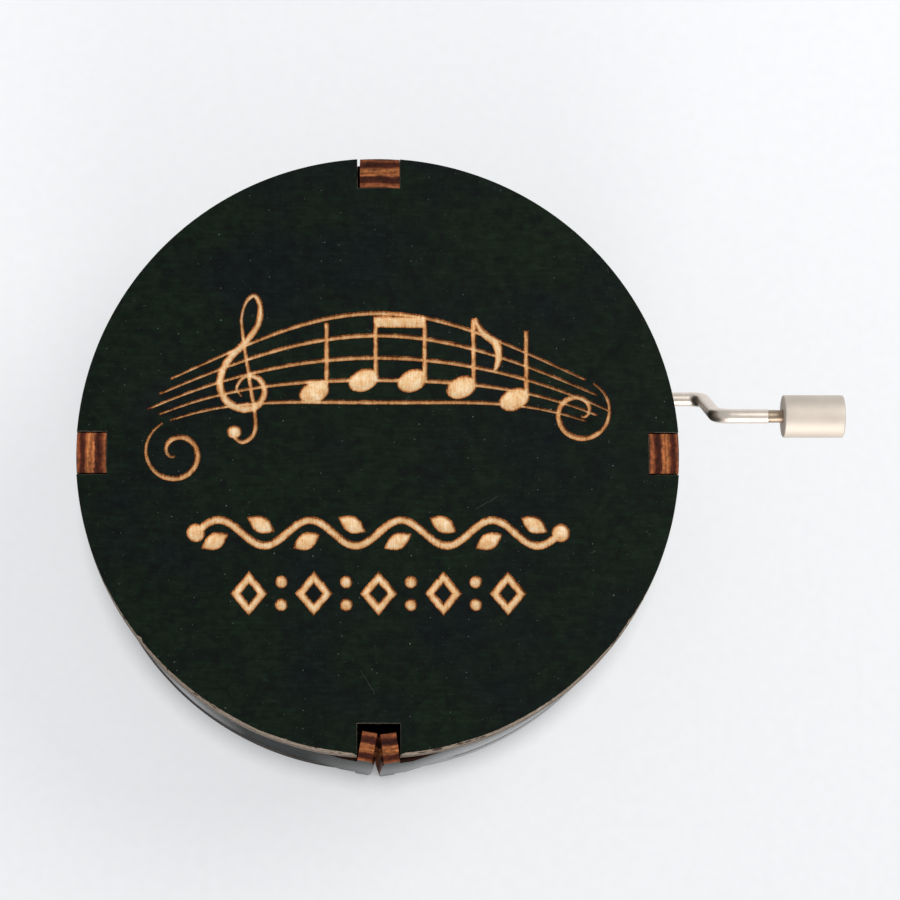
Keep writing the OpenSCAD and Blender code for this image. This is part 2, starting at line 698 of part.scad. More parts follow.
module along_drum(y) {
    translate([drum_x, y, drum_z]) rotate([-90, 0, 0]) children();
}

module drum() {
    color([0.83, 0.68, 0.36]) difference() {
        along_drum(drum_y0) difference() {
            cylinder(r = drum_r, h = drum_len);
            translate([0, 0, -through]) cylinder(r = drum_r - drum_wall, h = drum_len + 2 * through);
        }
        at_pins() cylinder(r = pin_r + press_fit, h = drum_r + through, $fn = 16);
    }
}

module drum_pins() {
    color([0.85, 0.85, 0.84]) at_pins() translate([0, 0, drum_r - drum_wall])
        cylinder(r = pin_r, h = drum_wall + pin_h, $fn = 16);
}

module drum_cap() {
    difference() {
        cylinder(r = drum_r - drum_wall - press_fit, h = cap_t);
        translate([0, 0, -through]) cylinder(r = arbor_r + press_fit, h = cap_t + 2 * through);
        for (turn = [0:120:240]) rotate(turn) translate([(arbor_r + drum_r - drum_wall) / 2, 0, -through])
            cylinder(r = cap_hole_r, h = cap_t + 2 * through);
    }
}

module drum_cap_left() {
    color([0.8, 0.64, 0.34]) along_drum(drum_y0) drum_cap();
}

module drum_cap_right() {
    color([0.8, 0.64, 0.34]) along_drum(drum_y1 - cap_t) drum_cap();
}

module drum_arbor() {
    color([0.8, 0.8, 0.8]) along_drum(arbor_y0) cylinder(r = arbor_r, h = arbor_y1 - arbor_y0);
}

module clip(inner_r) {
    difference() {
        cylinder(r = inner_r + clip_rim, h = clip_t);
        translate([0, 0, -through]) cylinder(r = inner_r + press_fit, h = clip_t + 2 * through);
    }
}

module arbor_clips() {
    color([0.3, 0.3, 0.3]) {
        along_drum(arbor_bracket_y - bracket_t - end_play - clip_t) clip(arbor_r);
        along_drum(drive_back_y + bracket_t + end_play) clip(arbor_r);
    }
}

// ---------------------------------------------------------------- worm drive

// Half thickness of a tooth or thread at radius offset d from the pitch line
function tooth_half(d) = (pitch / 2 - backlash) / 2 - d * tan(flank_angle);

module worm_wheel() {
    inward = wheel_root_r - wheel_pitch_r - 0.2;
    outward = 1;
    color([0.93, 0.91, 0.84]) along_drum(drum_y1) difference() {
        union() {
            cylinder(r = wheel_hub_r, h = hub_len);
            translate([0, 0, hub_len]) {
                cylinder(r = wheel_root_r, h = wheel_w);
                intersection() {
                    cylinder(r = wheel_tip_r, h = wheel_w);
                    for (i = [0:wheel_teeth - 1]) rotate(-90 + 360 * (i + 0.5) / wheel_teeth)
                        translate([0, 0, wheel_w / 2]) rotate([-lead_angle, 0, 0]) translate([0, 0, -wheel_w])
                            linear_extrude(2 * wheel_w) polygon([
                                [wheel_pitch_r + inward, -tooth_half(inward)],
                                [wheel_pitch_r + outward, -tooth_half(outward)],
                                [wheel_pitch_r + outward, tooth_half(outward)],
                                [wheel_pitch_r + inward, tooth_half(inward)]]);
                }
            }
        }
        translate([0, 0, -through]) cylinder(r = arbor_r + press_fit, h = hub_len + wheel_w + 2 * through);
    }
}

module along_shaft(x) {
    translate([x, shaft_y, shaft_z]) rotate([0, 90, 0]) children();
}

module worm_shaft() {
    color([0.74, 0.74, 0.73]) difference() {
        union() {
            along_shaft(shaft_x0) cylinder(r = shaft_r, h = shaft_step_x - shaft_x0);
            along_shaft(shaft_step_x) cylinder(r = shaft_big_r, h = shaft_x1 - shaft_step_x);
            along_shaft(shaft_flange_x) cylinder(r = shaft_big_r + flange_rim, h = flange_t);
        }
        along_shaft(shaft_x1 - socket_len) cylinder(r = wire_r + press_fit, h = socket_len + through);
    }
}

// The thread is a helix of one closed skin; its root lies inside the worm's core
module worm_thread() {
    sides = 20;
    rings = worm_turns * sides;
    sunk = worm_root_r - worm_pitch_r - 0.25;
    top = worm_tip_r - worm_pitch_r;
    section = [[sunk, -tooth_half(sunk)], [top, -tooth_half(top)],
               [top, tooth_half(top)], [sunk, tooth_half(sunk)]];
    points = [for (k = [0:rings], s = section)
        let (turn = 360 * (k - rings / 2) / sides, r = worm_pitch_r + s[0])
        [r * cos(turn), r * sin(turn), pitch * turn / 360 + s[1]]];
    skin = [for (k = [0:rings - 1], j = [0:3])
        [4 * k + j, 4 * k + (j + 1) % 4, 4 * (k + 1) + (j + 1) % 4, 4 * (k + 1) + j]];
    ends = [[3, 2, 1, 0], [for (j = [0:3]) 4 * rings + j]];
    polyhedron(points, concat(skin, ends));
}

module worm() {
    color([0.84, 0.7, 0.38]) along_shaft(drum_x) difference() {
        union() {
            translate([0, 0, -worm_len / 2]) cylinder(r = worm_root_r, h = worm_len);
            worm_thread();
        }
        translate([0, 0, -worm_len / 2 - through])
            cylinder(r = shaft_r + press_fit, h = worm_len + 2 * through);
    }
}

module shaft_clip() {
    color([0.3, 0.3, 0.3]) along_shaft(cheek_in_x - bracket_t - end_play - clip_t) clip(shaft_r);
}

// ---------------------------------------------------------------- crank

// The crank's own plane: +X along the shaft and +Y along the arm
module crank_plane() {
    translate([0, shaft_y, shaft_z]) rotate([90 + crank_lean, 0, 0]) children();
}

module rod(x, y, length, r) {
    translate([x, y, 0]) rotate([0, 90, 0]) cylinder(r = r, h = length);
}

module bend(x, y, turn) {
    translate([x, y, 0]) rotate(turn)
        rotate_extrude(angle = 90) translate([wire_bend_r, 0]) circle(r = wire_r);
}

module crank_wire() {
    inner_x = shaft_x1 - socket_len + socket_gap;
    color([0.82, 0.81, 0.79]) crank_plane() {
        rod(inner_x, 0, arm_x - wire_bend_r - inner_x, wire_r);
        bend(arm_x - wire_bend_r, wire_bend_r, -90);
        translate([arm_x, wire_bend_r, 0]) rotate([-90, 0, 0])
            cylinder(r = wire_r, h = crank_r - 2 * wire_bend_r);
        bend(arm_x + wire_bend_r, crank_r - wire_bend_r, 90);
        rod(arm_x + wire_bend_r, crank_r, shoulder_x - arm_x - wire_bend_r, wire_r);
        rod(shoulder_x, crank_r, knob_x1 - pin_sunk - shoulder_x, knob_pin_r);
    }
}

module crank_knob() {
    color([0.84, 0.83, 0.8]) crank_plane() translate([knob_x0, crank_r, 0]) rotate([0, 90, 0]) difference() {
        rotate_extrude() polygon([[0, 0], [knob_d / 2 - knob_edge, 0], [knob_d / 2, knob_edge],
            [knob_d / 2, knob_len - knob_edge], [knob_d / 2 - knob_edge, knob_len], [0, knob_len]]);
        translate([0, 0, -through]) cylinder(r = knob_pin_r + bearing_fit, h = knob_len + 2 * through);
        translate([0, 0, knob_len - counterbore])
            cylinder(r = retainer_r + retainer_gap, h = counterbore + through);
    }
}

module knob_retainer() {
    x = knob_x1 - counterbore + end_play;
    color([0.7, 0.7, 0.7]) crank_plane() translate([x, crank_r, 0]) rotate([0, 90, 0]) difference() {
        cylinder(r = retainer_r, h = retainer_t);
        translate([0, 0, -through]) cylinder(r = knob_pin_r + press_fit, h = retainer_t + 2 * through);
    }
}

top_plate();
base_plate();
wall_strip();
bedplate();
bed_screws();
comb();
comb_weights();
comb_screws();
drum();
drum_pins();
drum_cap_left();
drum_cap_right();
drum_arbor();
arbor_clips();
worm_wheel();
arbor_bracket();
drive_bracket();
bracket_screws();
worm_shaft();
worm();
shaft_clip();
crank_wire();
crank_knob();
knob_retainer();
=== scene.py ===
import math

import bmesh
import bpy
import numpy as np
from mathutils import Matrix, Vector, geometry, noise


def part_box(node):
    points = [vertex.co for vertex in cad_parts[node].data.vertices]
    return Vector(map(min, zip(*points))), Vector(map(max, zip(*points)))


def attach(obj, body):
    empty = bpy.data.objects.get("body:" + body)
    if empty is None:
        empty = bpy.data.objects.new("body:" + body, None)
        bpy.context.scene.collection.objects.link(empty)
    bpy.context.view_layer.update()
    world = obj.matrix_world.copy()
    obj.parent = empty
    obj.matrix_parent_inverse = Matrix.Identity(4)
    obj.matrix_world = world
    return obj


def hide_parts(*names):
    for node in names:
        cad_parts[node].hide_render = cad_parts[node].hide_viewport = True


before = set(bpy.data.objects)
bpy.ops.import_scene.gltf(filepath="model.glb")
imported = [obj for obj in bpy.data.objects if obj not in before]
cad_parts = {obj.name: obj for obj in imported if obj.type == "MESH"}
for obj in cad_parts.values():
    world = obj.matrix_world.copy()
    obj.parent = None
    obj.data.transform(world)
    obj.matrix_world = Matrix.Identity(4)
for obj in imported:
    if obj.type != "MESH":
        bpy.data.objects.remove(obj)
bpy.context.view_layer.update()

MM = 0.001

# ---------------- sizes, in millimetres

PLATE_R = 40.0
PLY_T = 3.9
CASE_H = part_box("top_plate")[1].z / MM
EDGE_TAPER = 0.15  # a laser-cut plate is this much smaller at its upper face
EDGE_WEAR = 0.25  # width of the worn upper edge
SLOT_WEAR = 0.02  # and of the slots' edges
WEAR_DEPTH = 0.9  # as a share of its width
BED_SCREWS = ((-16.52, -15.7), (16.18, -15.7), (5.0, 12.8))
SCREW_HOLE = (2.5, 1.4, 1.1)  # radius at the lower face, radius above, and depth of the countersink
ENGRAVE_DEPTH = 0.4
# Insets of the recess: its rim, the foot of its wall, and two steps of the burnt band inside it. In a line
# they are at most these shares of its half width, and a thin line goes without the last. The wood is this
# pale at each, and inside them all.
ENGRAVE_INSETS = (0.0, 0.11, 0.24, 0.42)
ENGRAVE_SHARES = (0.0, 0.3, 0.62, 0.85)
ENGRAVE_BURN = (0.0, 0.32, 0.71, 1.0, 1.0)
LAST_LEVEL = len(ENGRAVE_INSETS) - 1
THIN_LINE = 1.0
LEAST = 0.02  # the smallest radius in mm, and area in mm2, that is engraved

WALL_R = PLATE_R - 0.2
WALL_IN_R = WALL_R - PLY_T
TAB_W = 5.3
TAB_SHORT = 0.1  # a tab ends this far inside the plate's face
SLOT_W = TAB_W + 0.4
SLOT_PLAY = 0.05  # left beside a half tab at the seam
SLOT_BACK = 0.1  # room in a slot behind the tab
SEAM_SLOT_BACK = 0.3
TOP_TAB_SHIFT = 0.16  # the tab at the back stands this far to the right in its slot
TAB_TURNS = (0, 90, 180)
SEAM_TURN = 270
SEAM_GAP = 0.1
SEAM_TAB_GAP = 0.4  # between the two half tabs
# Each end of the strip: where the bend stops, the lean of its last piece, and how far it springs outwards.
END_LEFT = (16, 10, 1.05)
END_RIGHT = (18, 8, 1.2)
END_THINNER = 0.02  # the last pieces are this much thinner on each face
GROOVE_DEEP = 1.7  # the ends meet behind this depth, and a groove is left in front of it
GROOVE_HALF = 0.56  # half its width at the outer face
SAME = 1e-6  # two places along the strip that are closer than this are one
KERF_STEP = 5  # degrees
KERF_W = 0.45
KERF_SKIN = 0.6  # wood left outside a kerf
KERF_CLEAR = 0.8  # from the first and last kerf to the ends of the bend
WALL_HOLE_R = 2.5
HOLE_CLEAR = 1.5  # wood round the hole that is left without a kerf

SHAFT_Y = 10.2  # the crank's axis runs along X
SHAFT_Z = 20.2
CRANK_R = 16.2
CRANK_LEAN = 17.2  # degrees from upright, towards the front
WIRE_R = 0.95
BEND_R = 2.0  # of the middle of the wire
ARM_X = PLATE_R + 5.1
SHOULDER_X = ARM_X + 7  # where the wire is turned down to the knob's pin
KNOB_PIN_R = 0.85
KNOB_X0 = SHOULDER_X + 1.9
KNOB_LEN = 8.1
KNOB_R = 2.85
WIRE_IN_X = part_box("crank_wire")[0].x / MM

STAVE_X = 30.5  # from its middle to its ends
STAVE_CROWN = 12.8  # Y of its middle line, which is this much lower at the ends
STAVE_DROP = 7.0
STAVE_SPACE = 3.0  # between its lines, and the share of it that is left at the ends
STAVE_PINCH = 0.45
STAVE_LINE = 0.62  # width of a line

# ---------------- camera, floor and light

LENS = 128.0
SENSOR = 36.0
CAMERA_AT = (-6.49, -60.64, CASE_H + 418.27)
CAMERA_TURN = (8.31, -2.15, -0.20)
# The floor is a white light table, which keeps the shadows faint. Its glow is painted light: brighter behind
# the case than in front, and darkened round the case as a painted contact shadow. These are in metres.
FLOOR_HALF = 1.6
FLOOR_Z = -0.00002
PAINTED_GLOW_REACH = 0.07
FLOOR_PAINTED_GLOW = (0.57, 0.645)  # at PAINTED_GLOW_REACH in front of the case's middle, and behind it
CONTACT_SHADE = 0.0032  # round the case, over which the table darkens towards it


def new_object(name, data):
    obj = bpy.data.objects.new(name, data)
    bpy.context.scene.collection.objects.link(obj)
    return obj


def make_camera():
    data = bpy.data.cameras.new("camera")
    data.lens = LENS
    data.sensor_width = SENSOR
    camera = new_object("camera", data)
    camera.location = Vector(CAMERA_AT) * MM
    camera.rotation_euler = [math.radians(a) for a in CAMERA_TURN]
    bpy.context.scene.camera = camera


def area_light(name, at, size, power, colour):
    data = bpy.data.lights.new(name, "AREA")
    data.shape = "DISK"
    data.size = size
    data.energy = power
    data.color = colour
    light = new_object(name, data)
    light.location = at
    light.rotation_euler = (-Vector(at)).to_track_quat("-Z", "Y").to_euler()


def make_light():
    world = bpy.data.worlds.new("studio")
    world.use_nodes = True
    back = world.node_tree.nodes["Background"]
    back.inputs["Color"].default_value = (0.93, 0.96, 1.0, 1)
    back.inputs["Strength"].default_value = 0.60
    bpy.context.scene.world = world
    area_light("key", (0.75, 0.45, 1.10), 0.80, 9.0, (1.0, 0.99, 0.97))
    area_light("window", (0.10, -1.15, 0.42), 0.60, 9.0, (1.0, 0.97, 0.96))
    bpy.context.scene.view_settings.view_transform = "Standard"


def make_floor():
    mesh = bpy.data.meshes.new("floor")
    builder = bmesh.new()
    bmesh.ops.create_grid(builder, x_segments=16, y_segments=16, size=FLOOR_HALF)
    bmesh.ops.translate(builder, verts=builder.verts, vec=(0, 0, FLOOR_Z))
    builder.to_mesh(mesh)
    builder.free()
    shade = Shade("glowing_table_painted_light", {"Roughness": 0.75, "Specular IOR Level": 0.2,
                                  "Emission Color": (0.97, 0.98, 1.0, 1)})
    back = shade.add("SeparateXYZ", {"Vector": shade.add("TexCoord").outputs["Object"]}).outputs[1]
    # Painted light: the table glows more behind the case than in front of it.
    glow = shade.between(back, -PAINTED_GLOW_REACH, PAINTED_GLOW_REACH, *FLOOR_PAINTED_GLOW)
    # Painted shade: a contact shadow darkens the table's glow round the case.
    near = shade.add("AmbientOcclusion", {"Distance": CONTACT_SHADE}, samples=6).outputs["AO"]
    shade.plug(shade.surface.inputs["Emission Strength"], shade.times(glow, near))
    grain = shade.noise(shade.place(), 0.6, 3)
    shade.colour(shade.ramp(grain, [(0.3, (0.29, 0.295, 0.30)), (0.7, (0.31, 0.315, 0.32))]))
    mesh.materials.append(shade.material)
    new_object("floor", mesh)


# ---------------- node materials

COAT_ROUGH = 0.16


class Shade:
    """A node material. Each call adds a node and gives its output, and takes numbers or outputs."""

    def __init__(self, name, values=()):
        self.material = bpy.data.materials.new(name)
        self.material.use_nodes = True
        self.tree = self.material.node_tree
        self.surface = self.tree.nodes["Principled BSDF"]
        for key, value in dict(values).items():
            self.plug(self.surface.inputs[key], value)

    def plug(self, socket, value):
        if isinstance(value, bpy.types.NodeSocket):
            self.tree.links.new(value, socket)
        else:
            socket.default_value = value

    def add(self, kind, inputs=(), **settings):
        node = self.tree.nodes.new("ShaderNode" + kind)
        for key, value in settings.items():
            setattr(node, key, value)
        for key, value in dict(inputs).items():
            self.plug(node.inputs[key], value)
        return node

    def stretched(self, where, stretch):
        return self.add("Mapping", {"Vector": where, "Scale": stretch}).outputs["Vector"]

    def place(self, stretch=(1, 1, 1)):
        """Where a point lies on the piece, in millimetres, stretched."""
        return self.stretched(self.add("TexCoord").outputs["Object"], tuple(s / MM for s in stretch))

    def noise(self, where, scale, detail=3, rough=0.5, warp=0.0):
        inputs = {"Vector": where, "Scale": scale, "Detail": detail, "Roughness": rough, "Distortion": warp}
        return self.add("TexNoise", inputs).outputs["Fac"]

    def cells(self, where, scale, feature="F1"):
        return self.add("TexVoronoi", {"Vector": where, "Scale": scale}, feature=feature,
                        voronoi_dimensions="2D").outputs

    def value(self, name):
        return self.add("Attribute", attribute_name=name).outputs["Fac"]

    def maths(self, operation, a, b=0.0, clamp=False):
        return self.add("Math", {0: a, 1: b}, operation=operation, use_clamp=clamp).outputs[0]

    def times(self, a, b):
        return self.maths("MULTIPLY", a, b)

    def swing(self, value, middle, share):
        """How far a value is from its middle, as a share."""
        return self.times(self.maths("SUBTRACT", value, middle), share)

    def between(self, value, low, high, start, end):
        """Where a value lies between low and high, as a number from start to end."""
        return self.add("MapRange", {0: value, 1: low, 2: high, 3: start, 4: end}).outputs[0]

    def channel(self, colour, index):
        return self.add("SeparateColor", {"Color": colour}).outputs[index]

    def ramp(self, fac, stops):
        node = self.add("ValToRGB", {"Fac": fac})
        marks = node.color_ramp.elements
        while len(marks) < len(stops):
            marks.new(0.5)
        for mark, (at, colour) in zip(marks, stops):
            mark.position = at
            mark.color = (*colour, 1) if isinstance(colour, tuple) else (colour, colour, colour, 1)
        return node.outputs["Color"]

    def mix(self, fac, a, b, how="MIX"):
        return self.add("Mix", {0: fac, 6: a, 7: b}, data_type="RGBA", blend_type=how).outputs[2]

    def tinted(self, a, b):
        return self.mix(1.0, a, b, "MULTIPLY")

    def colour(self, value):
        self.plug(self.surface.inputs["Base Color"], value)

    def roughness(self, fac, low, high):
        self.plug(self.surface.inputs["Roughness"], self.ramp(fac, [(0.0, low), (1.0, high)]))

    def bump(self, height, depth, strength=1.0):
        inputs = {"Height": height, "Distance": depth * MM, "Strength": strength}
        self.plug(self.surface.inputs["Normal"], self.add("Bump", inputs).outputs["Normal"])

    def coat(self, weight):
        self.plug(self.surface.inputs["Coat Weight"], weight)
        self.plug(self.surface.inputs["Coat Roughness"], COAT_ROUGH)


def sheen_share(shade):
    """How much of the strip's clear coat is left: most of it right of the seam, and less of it high up.

    The marks are mm along the strip, which runs from -61.25 right of the seam to 186.25 left of it."""
    along = shade.value("along")
    start = shade.between(along, -38.0, -22.0, 1.0, 0.0)
    near = shade.between(along, -60.0, -50.0, 0.55, 1.0)
    patch = shade.between(along, 150.0, 158.0, 0.0, 0.9)
    faded = shade.between(along, 160.0, 169.0, 1.0, 0.0)
    end = shade.between(along, 178.0, 186.6, 0.0, 0.55)
    left = shade.maths("MAXIMUM", shade.times(patch, faded), end)
    share = shade.maths("MAXIMUM", shade.times(start, near), left)
    return shade.times(share, shade.between(shade.value("height"), 10.0, 34.0, 1.0, 0.2))


STAIN_TONES = {"plate": ((0.0012, 0.0036, 0.0018), (0.0034, 0.0098, 0.0048)),
               "strip": ((0.0016, 0.0034, 0.0021), (0.0044, 0.0090, 0.0058))}
# Kinds of dust: cells in a mm, a grain's radius in mm, the share of cells without one, and its brightness.
DUST = ((0.95, 0.032, 0.70, 0.12), (0.42, 0.050, 0.72, 0.20), (0.16, 0.09, 0.6, 0.13))


def dusty(shade, flat, base):
    """Dust: one cell in a few holds a grain, and each grain has its own size and brightness."""
    for spread, size, without, glow in DUST:
        grain = shade.cells(flat, spread)
        chosen = shade.maths("GREATER_THAN", shade.channel(grain["Color"], 0), without)
        near = shade.maths("LESS_THAN", grain["Distance"], size * spread)
        bright = shade.times(shade.channel(grain["Color"], 1), glow)
        base = shade.mix(shade.times(shade.times(near, chosen), bright), base, (0.80, 0.92, 0.86, 1))
    return base


def scratched(shade, flat, base):
    """Hair scratches: short stretches of the edges between large warped cells."""
    bend = shade.add("TexNoise", {"Vector": flat, "Scale": 0.25}).outputs["Color"]
    warped = shade.add("VectorMath", {0: flat, 1: bend}, operation="ADD").outputs[0]
    line = shade.maths("LESS_THAN", shade.cells(warped, 0.11, "DISTANCE_TO_EDGE")["Distance"], 0.004)
    shown = shade.maths("GREATER_THAN", shade.noise(flat, 0.21, 2), 0.66)
    return shade.mix(shade.times(shade.times(line, shown), 0.035), base, (0.8, 0.9, 0.86, 1))


def stained_face(name, gloss, light, kind):
    """Black water stain on birch veneer: dark streaks and pores along the grain, dust and hair scratches."""
    shade = Shade(name, {"Specular IOR Level": gloss})
    if kind == "strip":
        flat = shade.add("CombineXYZ", {0: shade.value("along"), 1: shade.value("height"), 2: 0.0}).outputs[0]
        streaks = shade.noise(shade.stretched(flat, (0.07, 1, 1)), 2.2, 5, 0.6)
    else:
        streaks = shade.noise(shade.place((0.15, 1, 1)), 2.0, 6, 0.66)
        flat = shade.place()
    clouds = shade.noise(flat, 0.09, 4, 0.55)
    mottle = shade.noise(flat, 0.75, 4, 0.6, 0.3)
    dark, pale = (tuple(c * light for c in tone) for tone in STAIN_TONES[kind])
    base = shade.ramp(streaks, [(0.28, dark), (0.74, pale)])
    for spots, stops in (
            (clouds, [(0.36, (0.75, 0.70, 1.25)), (0.50, (1.0, 0.98, 1.0)), (0.64, (1.05, 1.22, 0.90))]),
            (mottle, [(0.34, (0.55, 0.48, 0.72)), (0.5, (1.0, 1.0, 1.0)), (0.66, (1.75, 1.40, 1.50))])):
        base = shade.tinted(base, shade.ramp(spots, stops))
    shade.colour(scratched(shade, flat, dusty(shade, flat, base)))
    shade.roughness(streaks, 0.62, 0.44)
    shade.bump(streaks, 0.03, 0.5)
    if kind == "strip":
        shade.coat(sheen_share(shade))
    return shade.material


def engraved_wood():
    """The floor of the engraving: pale wood, browned in spots and burnt along the edges of the recess."""
    shade = Shade("engraved_wood", {"Specular IOR Level": 0.15, "Roughness": 0.8})
    blotch = shade.noise(shade.place(), 0.75, 5, 0.62, 0.4)
    streak = shade.noise(shade.place((3.0, 0.35, 1)), 1.6, 4, 0.6)
    fine = shade.noise(shade.place((0.5, 1, 1)), 7.0, 3, 0.6)
    level = shade.value("burn")
    for spread, share in ((blotch, 1.5), (streak, 1.0), (fine, 0.6)):
        level = shade.maths("ADD", level, shade.swing(spread, 0.52, share))
    shade.colour(shade.ramp(shade.maths("MULTIPLY", level, 0.8, clamp=True), [
        (0.0, (0.060, 0.017, 0.005)), (0.12, (0.24, 0.075, 0.018)), (0.28, (0.49, 0.20, 0.060)),
        (0.48, (0.70, 0.35, 0.135)), (0.66, (0.82, 0.50, 0.235)), (0.84, (0.89, 0.63, 0.36)),
        (1.0, (0.97, 0.78, 0.54))]))
    shade.bump(shade.mix(0.5, blotch, fine), 0.06, 0.6)
    return shade.material


def plate_edge(name, light, coated):
    """The rim of a plate: its stain is thin or worn off, and the layers show as faint bands.

    Where it is coated, the clear coat is left on the side of the crank."""
    shade = Shade(name, {"Specular IOR Level": 0.12, "Roughness": 0.7})
    wear = shade.noise(shade.place((0.4, 0.4, 1.6)), 1.4, 5, 0.62)
    fine = shade.noise(shade.place((0.25, 0.25, 1.4)), 6.0, 3, 0.6)
    tones = [(0.25, (0.105, 0.077, 0.056)), (0.55, (0.235, 0.185, 0.14)), (0.85, (0.38, 0.315, 0.25))]
    wood = shade.ramp(fine, [(at, tuple(c * light for c in tone)) for at, tone in tones])
    bands = shade.ramp(shade.value("ply"), [(0.0, 1.0), (0.30, 0.9), (0.34, 0.45), (0.64, 0.42), (0.68, 0.85),
                                            (0.97, 0.6), (1.0, 0.2)])
    wood = shade.tinted(wood, bands)
    stained = shade.ramp(wear, [(0.40, 1.0), (0.46, 0.0)])
    shade.colour(shade.mix(stained, wood, (0.040 * light, 0.022 * light, 0.015 * light, 1)))
    shade.bump(fine, 0.04, 0.5)
    if coated:
        right = shade.add("SeparateXYZ", {"Vector": shade.place()}).outputs[0]
        shade.coat(shade.between(right, 3.0, 9.0, 0.0, 1.0))
    return shade.material


def slot_wall():
    """The laser's cut inside a slot: its upper edge is worn to the wood, and further down it is darker,
    partly charred and partly painted shade of the narrow slot.
    """
    shade = Shade("slot_char_and_shade", {"Specular IOR Level": 0.1, "Roughness": 0.8})
    char = shade.noise(shade.place((1, 1, 0.25)), 2.5, 4, 0.6)
    # Painted shade, partly char: the wall darkens with depth down the slot.
    deep = shade.maths("ADD", shade.value("ply"), shade.swing(char, 0.5, 0.5))
    shade.colour(shade.ramp(deep, [(0.0, (0.050, 0.048, 0.034)), (0.2, (0.034, 0.030, 0.020)),
                                   (0.36, (0.012, 0.007, 0.005))]))
    shade.bump(char, 0.03, 0.5)
    return shade.material


STRIP_MIDDLE, STRIP_HALF = 62.5, 123.75  # mm along the strip, and from there to its two end faces


def end_grain():
    """End grain of the strip: layers across its thickness, dark and orange by turns, scorched in spots.

    Below the tops of the tabs it is darkened, partly charred and partly painted shade under the plate, except
    at the seam."""
    shade = Shade("end_grain", {"Specular IOR Level": 0.12, "Roughness": 0.7})
    across, high = shade.value("ply"), shade.value("height")
    along = shade.add("CombineXYZ", {0: shade.value("along"), 1: across, 2: high}).outputs[0]
    wander = shade.noise(shade.stretched(along, (0.55, 1.0, 0.3)), 1.0, 3)
    layer = shade.maths("ADD", across, shade.swing(wander, 0.5, 0.18), clamp=True)
    bands = shade.ramp(layer, [
        (0.00, (0.10, 0.030, 0.013)), (0.04, (0.26, 0.085, 0.036)), (0.10, (0.17, 0.038, 0.012)),
        (0.15, (0.050, 0.011, 0.005)), (0.27, (0.070, 0.014, 0.006)), (0.32, (0.26, 0.075, 0.024)),
        (0.40, (0.42, 0.150, 0.048)), (0.48, (0.30, 0.085, 0.026)), (0.57, (0.40, 0.135, 0.045)),
        (0.62, (0.090, 0.019, 0.008)), (0.70, (0.036, 0.008, 0.004)), (0.82, (0.075, 0.015, 0.006)),
        (0.87, (0.22, 0.060, 0.020)), (0.95, (0.30, 0.090, 0.032)), (1.00, (0.14, 0.040, 0.016))])
    lines = shade.noise(shade.stretched(along, (0.45, 13.0, 0.5)), 1.0, 3, 0.65)
    spots = shade.noise(shade.stretched(along, (1.6, 6.0, 1)), 1.0, 4, 0.65)
    tone = shade.ramp(shade.mix(0.45, lines, spots), [(0.32, 0.16), (0.50, 0.85), (0.70, 2.0)])
    patch = shade.noise(shade.stretched(along, (0.12, 0.6, 0.1)), 1.0, 2)
    tone = shade.tinted(tone, shade.ramp(patch, [(0.36, 0.62), (0.60, 1.15)]))
    # Painted shade, partly char: the end grain under the plate is darkened to an eighth of its tone.
    char_and_shade_below_tabs = shade.ramp(shade.maths("DIVIDE", high, CASE_H), [(0.0, 0.12), (0.93, 0.12), (0.95, 1.0)])
    from_middle = shade.maths("ABSOLUTE", shade.maths("SUBTRACT", shade.value("along"), STRIP_MIDDLE))
    at_seam = shade.maths("GREATER_THAN", from_middle, STRIP_HALF)
    char_and_shade_below_tabs = shade.mix(at_seam, char_and_shade_below_tabs, (0.6, 0.6, 0.6, 1), "LIGHTEN")
    shade.colour(shade.tinted(bands, shade.tinted(tone, char_and_shade_below_tabs)))
    shade.bump(lines, 0.05, 0.6)
    return shade.material


def metal(name, low, high, rough, scale, stretch=(1, 1, 1), scratch=0.012):
    """Bare or plated metal: cloudy tone, fine scratches along one way, and uneven gloss."""
    shade = Shade(name, {"Metallic": 1.0})
    cloud = shade.noise(shade.place(), scale, 4, 0.55)
    lines = shade.noise(shade.place(stretch), 6.0, 3, 0.6)
    shade.colour(shade.ramp(shade.mix(0.35, cloud, lines), [(0.3, low), (0.7, high)]))
    shade.roughness(shade.mix(0.5, cloud, lines), rough[0], rough[1])
    shade.bump(lines, scratch, 0.35)
    return shade.material


def nylon():
    shade = Shade("nylon", {"Roughness": 0.42, "Subsurface Weight": 0.15, "Subsurface Scale": 0.4 * MM})
    cloud = shade.noise(shade.place(), 0.5, 3)
    shade.colour(shade.ramp(cloud, [(0.3, (0.66, 0.63, 0.54)), (0.7, (0.75, 0.72, 0.64))]))
    shade.bump(shade.noise(shade.place(), 5.0, 3), 0.01, 0.3)
    return shade.material


# ---------------- shapes in the plane

def turned(point, degrees):
    c, s = math.cos(math.radians(degrees)), math.sin(math.radians(degrees))
    return (point[0] * c - point[1] * s, point[0] * s + point[1] * c)


def around(centre, r, degrees):
    """The point at a distance from a centre, in a direction."""
    a = math.radians(degrees)
    return (centre[0] + r * math.cos(a), centre[1] + r * math.sin(a))


def moved(points, at, size=1):
    return [(at[0] + size * p[0], at[1] + size * p[1]) for p in points]


def curve(points, steps=8):
    """A smooth curve through the points, by Catmull and Rom's formula."""
    out = []
    for i in range(len(points) - 1):
        a, b = points[max(i - 1, 0)], points[i]
        c, d = points[i + 1], points[min(i + 2, len(points) - 1)]
        for k in range(steps):
            t = k / steps
            out.append(tuple(0.5 * (2 * q + (r - p) * t + (2 * p - 5 * q + 4 * r - s) * t * t
                                    + (3 * q - p - 3 * r + s) * t ** 3) for p, q, r, s in zip(a, b, c, d)))
    return out + [points[-1]]


